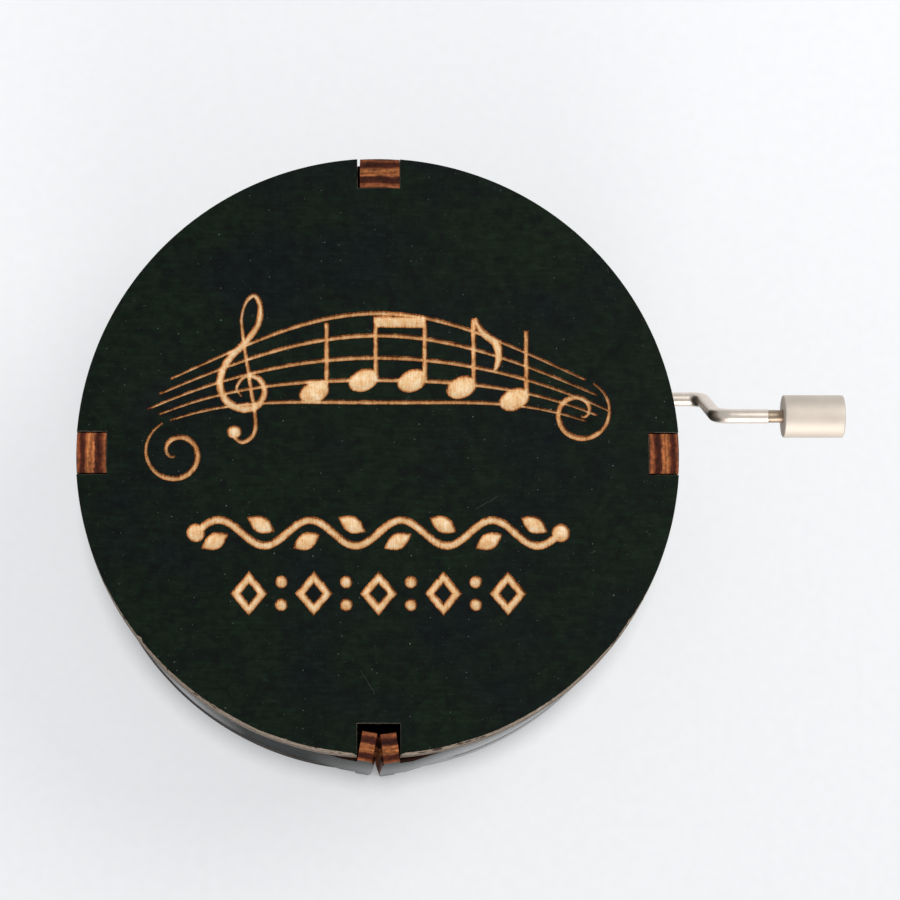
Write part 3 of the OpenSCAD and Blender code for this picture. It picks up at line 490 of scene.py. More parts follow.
def stroke(points, wide, wide_end):
    """A line of changing width, as one quad for each stretch, at each inset of the engraving."""
    last = len(points) - 1
    sides, halves = [], []
    for i in range(last + 1):
        a, b = points[max(i - 1, 0)], points[min(i + 1, last)]
        length = math.hypot(b[0] - a[0], b[1] - a[1])
        sides.append(((a[1] - b[1]) / length, (b[0] - a[0]) / length))
        halves.append((wide_end + (wide - wide_end) * math.sin(math.pi * i / last)) / 2)
    for level, (inset, share) in enumerate(zip(ENGRAVE_INSETS, ENGRAVE_SHARES)):
        if level == LAST_LEVEL and wide < THIN_LINE:
            continue
        for i in range(last):
            quad = []
            for j, sign in ((i, 1), (i, -1), (i + 1, -1), (i + 1, 1)):
                half = sign * (halves[j] - min(inset, share * halves[j]))
                quad.append((points[j][0] + half * sides[j][0], points[j][1] + half * sides[j][1]))
            yield level, quad


def ellipse(x, y, a, b, turn=0, count=36):
    for level, inset in enumerate(ENGRAVE_INSETS):
        if min(a, b) > inset + LEAST:
            ring = []
            for k in range(count):
                u, v = around((0, 0), 1, 360 * k / count)
                ring.append(turned(((a - inset) * u, (b - inset) * v), turn))
            yield level, moved(ring, (x, y))


def area_of(ring):
    return sum(ring[i - 1][0] * ring[i][1] - ring[i][0] * ring[i - 1][1] for i in range(len(ring))) / 2


def inset_ring(ring, inset):
    """A convex outline with each side moved inwards."""
    if area_of(ring) < 0:
        ring = ring[::-1]
    out = []
    for i in range(len(ring)):
        a, b, c = (Vector(ring[k % len(ring)]) for k in (i - 1, i, i + 1))
        d, e = (b - a).normalized(), (c - b).normalized()
        n, m = Vector((-d.y, d.x)), Vector((-e.y, e.x))
        out.append(tuple(b + (n + m) * (inset / (1 + n.dot(m)))))
    return out


def convex(ring):
    for level, inset in enumerate(ENGRAVE_INSETS):
        inner = inset_ring(ring, inset)
        if area_of(inner) > LEAST:
            yield level, inner


# ---------------- engraving

def stave_gap(x):
    return STAVE_SPACE * (STAVE_PINCH + (1 - STAVE_PINCH) * math.cos(math.pi / 2 * x / STAVE_X) ** 2)


def on_stave(x, line):
    return x, STAVE_CROWN - STAVE_DROP * (x / STAVE_X) ** 2 + line * stave_gap(x)


def stave_lines():
    steps = 64
    for line in range(-2, 3):
        reach = STAVE_X - 1.5 * abs(line)
        points = [on_stave(-reach + 2 * reach * k / steps, line) for k in range(steps + 1)]
        yield from stroke(points, STAVE_LINE, STAVE_LINE / 2)


def curl(start, turn, way):
    steps, turns, size, heart = 72, 1.35, 4.4, 0.1
    centre = around(start, size, turn + way * 90)
    points = []
    for k in range(steps + 1):
        r = size * ((1 - k / steps) ** 0.75 + heart) / (1 + heart)
        points.append(around(centre, r, turn + way * (360 * turns * k / steps - 90)))
    return stroke(points, STAVE_LINE * 1.3, STAVE_LINE / 2)


def clef(x):
    at, size = on_stave(x, -1), 1.25 * stave_gap(x)
    belly = [(-0.25, -0.4), (-0.5, 0.1), (-0.1, 0.68), (0.62, 0.6), (0.98, -0.1), (0.6, -0.88), (-0.3, -1.05),
             (-1.15, -0.5), (-1.4, 0.5), (-0.95, 1.6), (-0.1, 2.5), (0.6, 3.5), (0.72, 4.5), (0.38, 5.1),
             (-0.1, 4.6), (-0.3, 3.7)]
    spine = [(-0.3, 3.8), (-0.12, 2.4), (0.22, 0.2), (0.5, -1.7), (0.36, -2.5), (-0.2, -2.85), (-0.72, -2.5)]
    yield from stroke(moved(curve(belly), at, size), 0.46 * size, 0.14 * size)
    yield from stroke(moved(curve(spine), at, size), 0.26 * size, 0.2 * size)
    yield from ellipse(at[0] - 0.62 * size, at[1] - 2.3 * size, 0.4 * size, 0.36 * size)


def note_head(x, line):
    return ellipse(*on_stave(x, line), 0.72 * STAVE_SPACE, 0.5 * STAVE_SPACE, 24)


def note_stem(x, line, up):
    x, low = on_stave(x, line)
    right = x + 0.66 * STAVE_SPACE
    left = right - 0.24 * STAVE_SPACE
    top = low + up * STAVE_SPACE
    return convex([(left, low), (right, low), (right, top), (left, top)])


def quarter_note(x, line):
    yield from note_head(x, line)
    yield from note_stem(x, line, 3.1)


def eighth_note(x, line):
    yield from quarter_note(x, line)
    flag = moved(curve([(0, 0), (0.35, -0.65), (0.95, -1.15), (1.05, -1.9), (0.8, -2.4)]), (0.6, 3.1))
    yield from stroke(moved(flag, on_stave(x, line), STAVE_SPACE), 0.42 * STAVE_SPACE, 0.16 * STAVE_SPACE)


def beamed_pair(x0, x1, line):
    up, thick, stem = 2.9 * STAVE_SPACE, 0.55 * STAVE_SPACE, 0.66 * STAVE_SPACE
    for x in (x0, x1):
        yield from note_head(x, line)
        yield from note_stem(x, line, 2.9)
    a, b = on_stave(x0, line), on_stave(x1, line)
    left = (a[0] + stem - 0.24 * STAVE_SPACE, a[1] + up)
    right = (b[0] + stem, b[1] + up)
    yield from convex([left, right, (right[0], right[1] - thick), (left[0], left[1] - thick)])


def leaf(x, y, turn):
    half, bulge, steps = 2.1, 1.15, 12
    upper = [(-half + 2 * half * k / steps, bulge * math.sin(math.pi * k / steps)) for k in range(steps + 1)]
    lower = [(u, -v) for u, v in upper[-2:0:-1]]
    for level, inset in enumerate(ENGRAVE_INSETS):
        shrink = 1 - inset / bulge
        ring = [turned((p[0] * (1 - inset / half * 1.6), p[1] * shrink), turn) for p in upper + lower]
        yield level, moved(ring, (x, y))


def vine(x0, x1, y, bends):
    rise, stem = 1.7, 1.1
    steps = bends * 12
    points = [(x0 + (x1 - x0) * k / steps, y + rise * math.sin(math.pi * bends * k / steps))
              for k in range(steps + 1)]
    yield from stroke(points, stem, stem)
    for i in range(bends):
        way = 1 if i % 2 == 0 else -1
        yield from leaf(x0 + (x1 - x0) / bends * (i + 0.42), y - way * 1.1, way * 28)
    for end in (x0, x1):
        yield from ellipse(end, y, 1.25, 1.25)


def diamond_row(x0, x1, y, count):
    """A row of open diamonds, each made of its four sides, with pairs of dots between them."""
    step = (x1 - x0) / (count - 1)
    tall, wide, hollow = 3.0, 2.5, 0.42
    reach = 1.92  # from the middle of a diamond to its sides
    corners = [(wide, 0), (0, tall), (-wide, 0), (0, -tall)]
    for i in range(count):
        x = x0 + step * i
        for k in range(4):
            a, b = corners[k], corners[(k + 1) % 4]
            for level, inset in enumerate(ENGRAVE_INSETS):
                out, inn = 1 - inset / reach, hollow + inset / reach
                yield level, [(x + p[0] * share, y + p[1] * share)
                              for p, share in ((a, out), (b, out), (b, inn), (a, inn))]
    for i in range(count - 1):
        for up in (-1, 1):
            yield from ellipse(x0 + step * (i + 0.5), y + up * 1.5, 0.85, 0.85, count=24)


def artwork():
    yield from stave_lines()
    yield from curl(on_stave(-STAVE_X + 2, -2), 205, 1)
    yield from curl(on_stave(STAVE_X - 2, 2), -25, -1)
    yield from clef(-17.5)
    yield from quarter_note(-8.5, -1.5)
    yield from beamed_pair(-2, 4.5, -1)
    yield from eighth_note(11, -1.2)
    yield from quarter_note(18, -1.6)
    yield from vine(-24, 24, -10.6, 8)
    yield from diamond_row(-17, 17, -18.6, 5)


# ---------------- plates

RIM_STEPS = 96  # in each quarter of a plate's rim


def ragged(angle, seed):
    """Wear of the rim at an angle: slight, and at the front up to about 1, with a few deeper nicks."""
    where = Vector((math.cos(angle) * 9, math.sin(angle) * 9, 7 * seed))
    soft = noise.noise(where) * 0.5 + 0.5
    nick = max(0.0, noise.noise(where * 5 + Vector((7, 3, seed))) - 0.42) * 6
    near = min(1, max(0, -3.3 * math.sin(angle) - 1.3))
    return 0.12 + near * (0.55 + 0.6 * soft + nick)


def plate_outline(radius, grow=0.0, seed=0):
    """The rim of a plate with its four slots, each slot grown on its three sides."""
    points = []
    half = SLOT_W / 2 + grow
    for turn in (*TAB_TURNS, SEAM_TURN):
        back = WALL_IN_R - (SEAM_SLOT_BACK if turn == SEAM_TURN else SLOT_BACK) - grow
        reach = math.degrees(math.asin(half / radius))
        out = radius * math.cos(math.radians(reach))
        points += [turned(p, turn) for p in ((out, -half), (back, -half), (back, half), (out, half))]
        for k in range(1, RIM_STEPS):
            at = turn + reach + (90 - 2 * reach) * k / RIM_STEPS
            r = radius - (EDGE_WEAR * ragged(math.radians(at), seed) if seed else 0)
            points.append(around((0, 0), r, at))
    return points


def hole_ring(at, radius, count=32):
    return [around(at, radius, 360 * k / count) for k in range(count)]


def covered(ring, places):
    """Which of the places lie inside a closed ring."""
    low, high = np.min(ring, 0), np.max(ring, 0)
    near = np.flatnonzero(np.all((places > low) & (places < high), 1))
    x, y = places[near].T
    inside = np.zeros(len(near), bool)
    for (x0, y0), (x1, y1) in zip([ring[-1], *ring], ring):
        if y0 != y1:
            inside ^= ((y0 > y) != (y1 > y)) & (x < x0 + (y - y0) * (x1 - x0) / (y1 - y0))
    return near[inside]


def triangulate(rings):
    """Splits the plane along closed rings. Gives points, triangles, their middles, and each ring's points."""
    points, sides, firsts = [], [], []
    for ring in rings:
        first, count = len(points), len(ring)
        firsts.append(range(first, first + count))
        points.extend(Vector(p) for p in ring)
        sides.extend((first + k, first + (k + 1) % count) for k in range(count))
    out, _, triangles, from_points, _, _ = geometry.delaunay_2d_cdt(points, sides, [], 0, 1e-5, True)
    became = {old: new for new, olds in enumerate(from_points) for old in olds}
    middles = np.array([sum((out[v] for v in t), Vector((0, 0))) / 3 for t in triangles])
    return out, triangles, middles, [[became[i] for i in first] for first in firsts]


def clean_object(name, builder, materials):
    mesh = bpy.data.meshes.new(name)
    bmesh.ops.remove_doubles(builder, verts=builder.verts, dist=1e-8)
    bmesh.ops.recalc_face_normals(builder, faces=builder.faces)
    builder.to_mesh(mesh)
    builder.free()
    for material in materials:
        mesh.materials.append(material)
    return new_object(name, mesh)


def smooth_by_angle(obj, degrees=28):
    obj.data.polygons.foreach_set("use_smooth", [True] * len(obj.data.polygons))
    obj.data.set_sharp_from_angle(angle=math.radians(degrees))


def flat_skin(builder, layers, rings, kinds, level_z, material_of, ply):
    """One face of a plate. kinds says what each ring is: rim, flat, hole or a level of the engraving."""
    points, triangles, middles, loops = triangulate(rings)
    wood = np.zeros(len(triangles), bool)
    level = np.full(len(triangles), -1)
    for ring, kind in zip(rings, kinds):
        inside = covered(ring, middles)
        if kind in ("rim", "hole"):
            wood[inside] = kind == "rim"
        else:
            level[inside] = np.maximum(level[inside], 0 if kind == "flat" else kind + 1)
    kept = [(triangles[i], int(level[i])) for i in np.flatnonzero(wood)]
    lowest = {}
    for triangle, deep in kept:
        for v in triangle:
            lowest[v] = min(lowest.get(v, 9), max(deep, 0))
    verts = {}
    on_rim = set(loops[0])
    for v, deep in lowest.items():
        vert = builder.verts.new(Vector((*points[v], level_z(points[v], v in on_rim, deep))) * MM)
        vert[layers["burn"]] = ENGRAVE_BURN[deep]
        vert[layers["ply"]] = ply
        verts[v] = vert
    for triangle, deep in kept:
        builder.faces.new([verts[v] for v in triangle]).material_index = material_of(deep)
    found = [[verts[v] for v in loop] for loop, kind in zip(loops, kinds) if kind in ("rim", "hole")]
    return found[0], found[1:]


def side_skin(builder, upper, lower, is_rim):
    for i in range(len(upper)):
        a, b, c, d = upper[i - 1], upper[i], lower[i], lower[i - 1]
        face = builder.faces.new((a, b, c, d))
        face.material_index = 2 if is_rim(a.co, b.co) else 3


def on_outer_rim(a, b):
    return min(a.xy.length, b.xy.length) > (PLATE_R - 1) * MM


def make_plate(name, low, high, art, holes, seed, rim):
    """A plate as one closed skin: upper face with worn edge and engraving, lower face, rim, slots, holes."""
    builder = bmesh.new()
    layers = {key: builder.verts.layers.float.new(key) for key in ("burn", "ply")}
    top_r = PLATE_R - EDGE_TAPER
    lower_r, upper_r, sink = SCREW_HOLE
    rings = [plate_outline(top_r), plate_outline(top_r, SLOT_WEAR, seed)]
    rings += [hole_ring(at, upper_r) for at in holes] + [ring for _, ring in art]
    kinds = ["rim", "flat"] + ["hole"] * len(holes) + [level for level, _ in art]

    def upper_z(point, on_rim, level):
        if not on_rim:
            return high if level == 0 else high - ENGRAVE_DEPTH
        worn = SLOT_WEAR
        if point.length > top_r - 0.1:
            worn = EDGE_WEAR * ragged(math.atan2(point.y, point.x), seed)
        return high - WEAR_DEPTH * worn

    upper, upper_holes = flat_skin(builder, layers, rings, kinds, upper_z,
                                   lambda level: 2 if level < 0 else (0 if level == 0 else 1), 0.0)
    rings = [plate_outline(PLATE_R)] + [hole_ring(at, lower_r) for at in holes]
    lower, lower_holes = flat_skin(builder, layers, rings, ["rim"] + ["hole"] * len(holes),
                                   lambda point, on_rim, level: low, lambda level: 0, 1.0)
    side_skin(builder, upper, lower, on_outer_rim)
    for ring_up, ring_low in zip(upper_holes, lower_holes):
        narrow = [builder.verts.new((v.co.x, v.co.y, (low + sink) * MM)) for v in ring_up]
        side_skin(builder, ring_up, narrow, lambda a, b: False)
        side_skin(builder, narrow, ring_low, lambda a, b: False)
    plate = clean_object(name, builder, [STAIN, ENGRAVED, rim, SLOT_CHAR_AND_SHADE])
    smooth_by_angle(plate)
    return plate


# ---------------- wall

def end_kink(end):
    """Where an end of the strip turns, at its inner face: how far outwards, and away from the seam."""
    bend, lean, out = math.radians(end[0]), math.radians(end[1]), end[2]
    y = ((WALL_IN_R + END_THINNER) / math.cos(bend) - WALL_IN_R - out) / (math.tan(bend) - math.tan(lean))
    return WALL_IN_R + out - y * math.tan(lean), y


def end_run(end, y):
    """How far past the bend the last piece's inner face is y mm from the seam's middle."""
    kink_y = end_kink(end)[1]
    bend, lean = math.radians(end[0]), math.radians(end[1])
    first = ((WALL_IN_R + END_THINNER) * math.sin(bend) - kink_y) / math.cos(bend)
    return first + (kink_y - y) / math.cos(lean)


def end_place(end, run, deep):
    """A point of an end of the strip: outwards, and away from the seam."""
    bend, lean = math.radians(end[0]), math.radians(end[1])
    thick = (PLY_T - deep) * (1 - 2 * END_THINNER / PLY_T)
    kink = end_kink(end)
    past = run - end_run(end, kink[1])
    if past < -SAME:
        r = WALL_IN_R + END_THINNER
        lean, past, kink = bend, run, (r * math.cos(bend), r * math.sin(bend))
    elif past < SAME:
        thick /= math.cos((bend - lean) / 2)
        lean = (bend + lean) / 2
    elif abs(run - end_run(end, SEAM_GAP / 2)) < SAME:
        groove = GROOVE_HALF * max(0, 1 - deep / GROOVE_DEEP)
        past += max(0, thick * math.tan(lean) - groove / math.cos(lean))
    return (kink[0] + past * math.sin(lean) + thick * math.cos(lean),
            kink[1] - past * math.cos(lean) + thick * math.sin(lean))


def half_tab(lean):
    """Width of a half tab that fits the seam's slot beside the other."""
    lean = math.radians(lean)
    return (SLOT_W / 2 - SEAM_TAB_GAP / 2 - PLY_T * math.sin(lean) - SLOT_PLAY) / math.cos(lean)


BEND_STEPS = 300
NEAREST_STATION = 0.25  # degrees
END_STATIONS = (2.5, 5.0)  # mm past the bend
TAB_REACH = math.degrees(math.asin(TAB_W / 2 / WALL_R))
BEND_FROM = SEAM_TURN + END_RIGHT[0] - 360
BEND_TO = SEAM_TURN - END_LEFT[0]


def strip_place(along, deep):
    """A point of the strip in the plane. along runs in degrees where it is bent, and in mm past the bend."""
    if along < BEND_FROM:
        return turned(end_place(END_RIGHT, BEND_FROM - along, deep), SEAM_TURN)
    if along > BEND_TO:
        out, side = end_place(END_LEFT, along - BEND_TO, deep)
        return turned((out, -side), SEAM_TURN)
    r = WALL_R - deep
    for turn in TAB_TURNS:
        if abs(abs(along - turn) - TAB_REACH) < SAME:
            off = math.copysign(TAB_W / 2, along - turn) - (TOP_TAB_SHIFT if turn == 90 else 0)
            return turned((math.sqrt(r * r - off * off), off), turn)
    return around((0, 0), r, along)


def from_seam(right, left):
    """Where along the strip the inner faces of its ends are this far from the seam's middle."""
    return BEND_FROM - end_run(END_RIGHT, right), BEND_TO + end_run(END_LEFT, left)


def strip_kinks():
    return from_seam(end_kink(END_RIGHT)[1], end_kink(END_LEFT)[1])


def strip_spans():
    """Where the strip starts and ends, and its stretches that have a tab or a kerf."""
    start, end = from_seam(SEAM_GAP / 2, SEAM_GAP / 2)
    first, last = from_seam(SEAM_TAB_GAP / 2, SEAM_TAB_GAP / 2)
    tabs = [(first, first + half_tab(END_RIGHT[1])), (last - half_tab(END_LEFT[1]), last)]
    tabs += [(turn - TAB_REACH, turn + TAB_REACH) for turn in TAB_TURNS]
    kerf_half = math.degrees(KERF_W / 2 / WALL_IN_R)
    tab_clear = math.degrees(math.asin((TAB_W / 2 + KERF_W) / WALL_IN_R))
    hole_turn = math.degrees(math.asin(SHAFT_Y / WALL_R))
    hole_clear = math.degrees(math.asin((WALL_HOLE_R + HOLE_CLEAR) / WALL_IN_R))
    end_clear = math.degrees(math.asin((KERF_CLEAR + KERF_W) / WALL_IN_R))
    kerfs = []
    at = BEND_FROM + end_clear
    while at <= BEND_TO - end_clear:
        if all(abs(at - t) > tab_clear for t in TAB_TURNS) and abs(at - hole_turn) > hole_clear:
            kerfs.append((at - kerf_half, at + kerf_half))
        at += KERF_STEP
    for kink in strip_kinks():
        kerfs.append((kink - KERF_W / 2, kink + KERF_W / 2))
    return start, end, tabs, kerfs


def within(value, spans):
    return any(a < value < b for a, b in spans)


def strip_stations(start, end, spans):
    """Where the strip is divided along its length: at all that starts or ends, and finely in the bend."""
    stations = {start, end, BEND_FROM, BEND_TO, *strip_kinks()}
    for span in spans:
        stations.update(span)
    for k in range(1, BEND_STEPS):
        at = BEND_FROM + (BEND_TO - BEND_FROM) * k / BEND_STEPS
        if min(abs(at - s) for s in stations) > NEAREST_STATION:
            stations.add(at)
    for run in END_STATIONS:
        stations.update((BEND_FROM - run, BEND_TO + run))
    return sorted(stations)


def open_sides(cell, wood):
    """The sides of a cell that meet air: the axis each one faces along, and its four corners."""
    for axis in range(3):
        for side in (0, 1):
            if not wood(*(cell + np.insert((0, 0), axis, 2 * side - 1))):
                yield axis, [tuple(cell + np.insert(corner, axis, side))
                             for corner in ((0, 0), (1, 0), (1, 1), (0, 1))]


def make_wall():
    """The strip as a grid of cells along, across and up: a skin is drawn wherever wood meets air."""
    start, end, tabs, kerfs = strip_spans()
    stations = strip_stations(start, end, tabs + kerfs)
    depths = (0.0, KERF_SKIN, GROOVE_DEEP, PLY_T)
    heights = (TAB_SHORT, PLY_T, CASE_H - PLY_T, CASE_H - TAB_SHORT)

    def wood(i, j, k):
        if not (0 <= i < len(stations) - 1 and 0 <= j < 3 and 0 <= k < 3):
            return False
        middle = (stations[i] + stations[i + 1]) / 2
        if k != 1:
            return within(middle, tabs)
        return not (j > 0 and within(middle, kerfs))

    builder = bmesh.new()
    verts = {}

    def vert(corner):
        if corner not in verts:
            i, j, k = corner
            x, y = strip_place(stations[i], depths[j])
            verts[corner] = builder.verts.new(Vector((x, y, heights[k])) * MM)
        return verts[corner]

    for cell in np.ndindex(len(stations) - 1, 3, 3):
        if wood(*cell):
            for axis, corners in open_sides(cell, wood):
                face = builder.faces.new([vert(corner) for corner in corners])
                face.material_index = 0 if axis == 1 else 1
    wall = clean_object("bent_wall", builder, [WALL_STAIN, END_GRAIN])
    cut_hole(wall)
    mark_strip(wall)
    smooth_by_angle(wall)
    return wall


def cut_hole(wall):
    """Drills the hole for the crank through the wall, along X."""
    builder = bmesh.new()
    bmesh.ops.create_cone(builder, cap_ends=True, segments=72, depth=4 * PLY_T * MM,
                          radius1=WALL_HOLE_R * MM, radius2=WALL_HOLE_R * MM)
    for face in builder.faces:
        face.material_index = 1
    drill = clean_object("drill", builder, [WALL_STAIN, END_GRAIN])
    drill.rotation_euler = (0, math.pi / 2, 0)
    drill.location = Vector((PLATE_R, SHAFT_Y, SHAFT_Z)) * MM
    cut = wall.modifiers.new("hole", "BOOLEAN")
    cut.operation = "DIFFERENCE"
    cut.solver = "EXACT"
    cut.object = drill
    bpy.context.view_layer.update()
    shaped = bpy.data.meshes.new_from_object(wall.evaluated_get(bpy.context.evaluated_depsgraph_get()))
    wall.modifiers.clear()
    wall.data = shaped
    shaped.name = "bent_wall"
    bpy.data.objects.remove(drill)


def unroll_end(end, out, side):
    """How far past the bend a point of an end lies, and how deep in the wood."""
    bend, lean = math.radians(end[0]), math.radians(end[1])
    kink = end_kink(end)
    middle = (bend + lean) / 2
    if (out - kink[0]) * math.sin(middle) - (side - kink[1]) * math.cos(middle) > 0:
        base, start = kink, end_run(end, kink[1])
    else:
        base, start, lean = (WALL_IN_R * math.cos(bend), WALL_IN_R * math.sin(bend)), 0.0, bend
    x, y = out - base[0], side - base[1]
    return start + x * math.sin(lean) - y * math.cos(lean), PLY_T - x * math.cos(lean) - y * math.sin(lean)


def mark_strip(wall):
    """Writes on each vertex how far along, across and up the strip it lies."""
    mesh = wall.data
    marks = {key: mesh.attributes.new(key, "FLOAT", "POINT") for key in ("along", "ply", "height")}
    for i, v in enumerate(mesh.vertices):
        x, y = v.co.x / MM, v.co.y / MM
        turn = math.degrees(math.atan2(y, x))
        turn = turn if turn > SEAM_TURN - 360 - SAME else turn + 360
        if turn < BEND_FROM - 0.01:
            run, deep = unroll_end(END_RIGHT, -y, x)
            along = math.radians(BEND_FROM) * WALL_R - run
        elif turn > BEND_TO + 0.01:
            run, deep = unroll_end(END_LEFT, -y, -x)
            along = math.radians(BEND_TO) * WALL_R + run
        else:
            along = math.radians(turn) * WALL_R
            deep = WALL_R - math.hypot(x, y)
        marks["along"].data[i].value = along
        marks["ply"].data[i].value = deep / PLY_T
        marks["height"].data[i].value = v.co.z / MM


# ---------------- crank

def crank_point(x, y):
    """A point of the crank's plane, with y along the arm, in the model's frame."""
    lean = math.radians(CRANK_LEAN)
    return Vector((x, SHAFT_Y - y * math.sin(lean), SHAFT_Z + y * math.cos(lean)))


def crank_axes():
    """The directions along the crank's arm, and across its plane."""
    lean = math.radians(CRANK_LEAN)
    up = Vector((0, -math.sin(lean), math.cos(lean)))
    return up, Vector((1, 0, 0)).cross(up)


def lathe_rings(builder, stations, count, closed_ends=True):
    """A skin of rings: each station is a centre, two directions across it and a radius for each."""
    rings = []
    for centre, side, up, radius_a, radius_b in stations:
        ring = []
        for k in range(count):
            a = 2 * math.pi * k / count
            point = centre + side * (radius_a * math.cos(a)) + up * (radius_b * math.sin(a))
            ring.append(builder.verts.new(point * MM))
        rings.append(ring)
    for a, b in zip(rings, rings[1:]):
        for k in range(count):
            builder.faces.new((a[k - 1], a[k], b[k], b[k - 1]))
    if closed_ends:
        builder.faces.new(rings[0])
        builder.faces.new(rings[-1])


def wire_path():
    """Stations of the wire: x and y in the crank's plane, direction, radius and flattening."""
    straights, bends, chamfer, shoulder, flat = 6, 14, 0.12, 0.1, 0.05
    path = [(WIRE_IN_X, 0.0, 0.0, WIRE_R - chamfer, 0), (WIRE_IN_X + chamfer, 0.0, 0.0, WIRE_R, 0)]
    for k in range(1, straights + 1):
        path.append((WIRE_IN_X + (ARM_X - BEND_R - WIRE_IN_X) * k / straights, 0.0, 0.0, WIRE_R, 0))
    for k in range(1, bends + 1):
        a = math.radians(90 * k / bends)
        path.append((ARM_X - BEND_R + BEND_R * math.sin(a), BEND_R - BEND_R * math.cos(a), a, WIRE_R,
                     flat * math.sin(2 * a)))
    for k in range(1, 5):
        path.append((ARM_X, BEND_R + (CRANK_R - 2 * BEND_R) * k / 5, math.pi / 2, WIRE_R, 0))
    for k in range(bends + 1):
        a = math.radians(90 * k / bends)
        path.append((ARM_X + BEND_R - BEND_R * math.cos(a), CRANK_R - BEND_R + BEND_R * math.sin(a),
                     math.pi / 2 - a, WIRE_R, flat * math.sin(2 * a)))
    tip = KNOB_X0 + KNOB_LEN - 0.4
    ends = ((SHOULDER_X - 3, WIRE_R), (SHOULDER_X - shoulder, WIRE_R), (SHOULDER_X, WIRE_R - shoulder),
            (SHOULDER_X, KNOB_PIN_R + 0.001), (SHOULDER_X + 0.01, KNOB_PIN_R), (KNOB_X0 + 3, KNOB_PIN_R),
            (tip - 0.15, KNOB_PIN_R), (tip, KNOB_PIN_R - 0.15))
    return path + [(x, CRANK_R, 0.0, r, 0) for x, r in ends]


def make_wire():
    """The bent wire: round, a little flattened in its two bends, and turned down to a pin for the knob."""
    up, across = crank_axes()
    stations = []
    for x, y, turn, r, flat in wire_path():
        normal = Vector((-math.sin(turn), 0, 0)) + up * math.cos(turn)
        stations.append((crank_point(x, y), across, normal, r * (1 + flat), r * (1 - flat)))
    builder = bmesh.new()
    lathe_rings(builder, stations, 40)
    for face in builder.faces:
        if face.calc_center_median().x > SHOULDER_X * MM:
            face.material_index = 1
    wire = clean_object("crank_rod", builder, [NICKEL, SHADED_PIN])
    smooth_by_angle(wire)
    return wire


def make_knob():
    """The knob: a turned sleeve with eased edges, bored for its pin, and counterbored at its outer end."""
    bore, sink_r, sink = KNOB_PIN_R + 0.05, KNOB_PIN_R + 1.0, 1.2
    ease, chamfer, steps = 0.22, 0.12, 6
    profile = [(0.0, bore + chamfer), (0.0, KNOB_R - ease - 0.25), (0.02, KNOB_R - ease)]
    for k in range(1, steps + 1):
        a = math.radians(90 * k / steps)
        profile.append((ease - ease * math.cos(a), KNOB_R - ease + ease * math.sin(a)))
    profile += [(x, KNOB_R) for x in (1.5, KNOB_LEN / 2, KNOB_LEN - 1.5)]
    for k in range(steps + 1):
        a = math.radians(90 * k / steps)
        profile.append((KNOB_LEN - ease + ease * math.sin(a), KNOB_R - ease + ease * math.cos(a)))
    profile += [(KNOB_LEN, sink_r + chamfer), (KNOB_LEN - chamfer, sink_r), (KNOB_LEN - sink, sink_r),
                (KNOB_LEN - sink, bore), (chamfer, bore), (0.0, bore + chamfer)]
    up, across = crank_axes()
    builder = bmesh.new()
    stations = [(crank_point(KNOB_X0 + x, CRANK_R), across, up, r, r) for x, r in profile]
    lathe_rings(builder, stations, 96, closed_ends=False)
    knob = clean_object("crank_grip", builder, [SATIN_NICKEL])
    smooth_by_angle(knob)
    return knob


# ---------------- the pieces in the frame

def stand_for(piece, node, body):
    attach(piece, body)
    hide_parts(node)


def finish_nodes(names, material):
    for name in names:
        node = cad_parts[name]
        if not node.material_slots:
            node.data.materials.append(material)
        for place in node.material_slots:
            place.material = material


make_camera()
make_light()
make_floor()

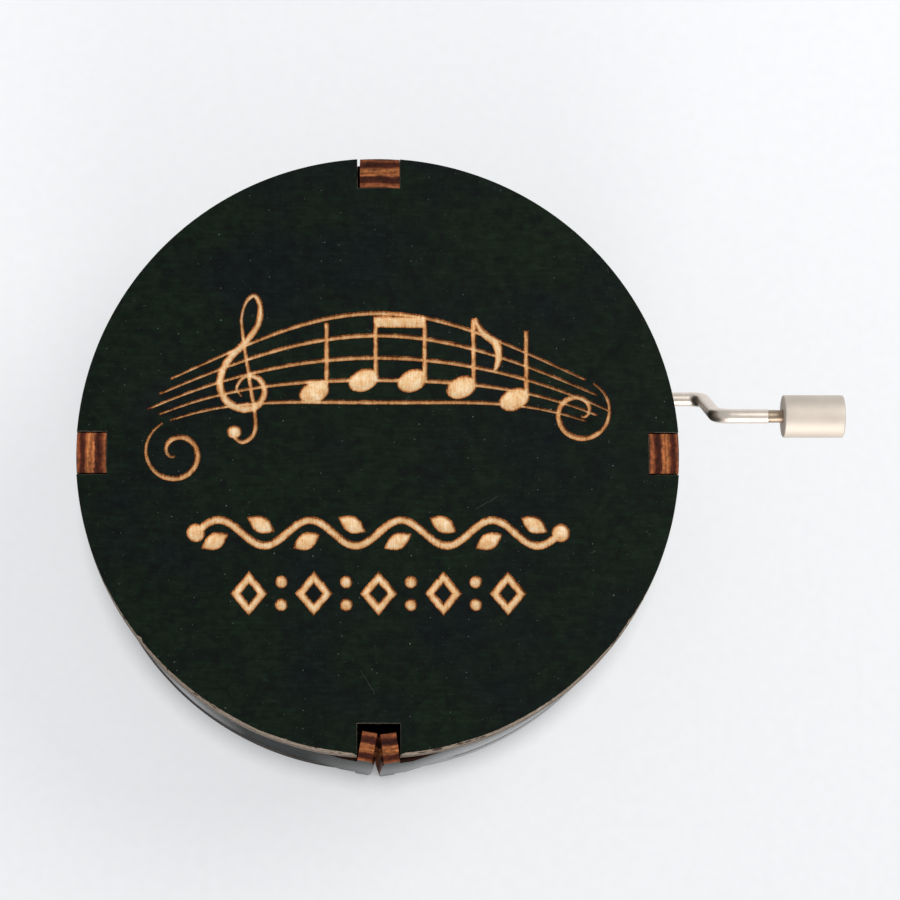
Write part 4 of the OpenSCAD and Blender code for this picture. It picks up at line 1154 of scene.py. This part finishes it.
STAIN = stained_face("stained_face", 0.09, 1.0, "plate")
WALL_STAIN = stained_face("stained_wall", 0.016, 1.2, "strip")
ENGRAVED = engraved_wood()
EDGE = plate_edge("worn_rim", 1.0, False)
BASE_EDGE = plate_edge("stained_rim", 0.14, True)
SLOT_CHAR_AND_SHADE = slot_wall()
END_GRAIN = end_grain()
NICKEL = metal("nickel_wire", (0.72, 0.62, 0.53), (0.84, 0.745, 0.65), (0.30, 0.44), 0.5, (0.1, 1, 1))
# The pin's dark brown is painted shade: the shadow of the knob's end as reflected in the pin.
SHADED_PIN = metal("pin_painted_shade", (0.30, 0.215, 0.15), (0.46, 0.36, 0.27), (0.35, 0.5), 0.8, (0.1, 1, 1))
SATIN_NICKEL = metal("nickel_knob", (0.65, 0.578, 0.50), (0.735, 0.662, 0.585), (0.60, 0.74), 0.35,
                     (6, 0.15, 0.15))
ZINC = metal("cast_zinc", (0.30, 0.30, 0.29), (0.46, 0.46, 0.45), (0.45, 0.65), 0.9, scratch=0.05)
STEEL = metal("bright_steel", (0.50, 0.50, 0.49), (0.66, 0.66, 0.65), (0.22, 0.38), 0.6, (0.1, 1, 1))
BLACK_STEEL = metal("black_steel", (0.03, 0.03, 0.035), (0.07, 0.07, 0.08), (0.35, 0.5), 0.8)
BRASS = metal("brass", (0.62, 0.42, 0.16), (0.80, 0.60, 0.28), (0.2, 0.38), 0.4, (1, 0.1, 1))
LEAD = metal("lead", (0.12, 0.125, 0.135), (0.22, 0.225, 0.24), (0.5, 0.7), 1.2, scratch=0.04)

top = make_plate("engraved_top", CASE_H - PLY_T, CASE_H, list(artwork()), [], 1, EDGE)
base = make_plate("bottom_board", 0.0, PLY_T, [], BED_SCREWS, 2, BASE_EDGE)
stand_for(top, "top_plate", "case")
stand_for(base, "base_plate", "case")
stand_for(make_wall(), "wall_strip", "case")
stand_for(make_wire(), "crank_wire", "crank")
stand_for(make_knob(), "crank_knob", "knob")

finish_nodes(["bedplate", "drive_bracket"], ZINC)
finish_nodes(["bed_screws", "comb", "drum_pins", "drum_arbor", "arbor_bracket", "bracket_screws",
              "worm_shaft", "knob_retainer"], STEEL)
finish_nodes(["arbor_clips", "shaft_clip"], BLACK_STEEL)
finish_nodes(["comb_screws", "drum", "drum_cap_left", "drum_cap_right", "worm"], BRASS)
finish_nodes(["comb_weights"], LEAD)
finish_nodes(["worm_wheel"], nylon())
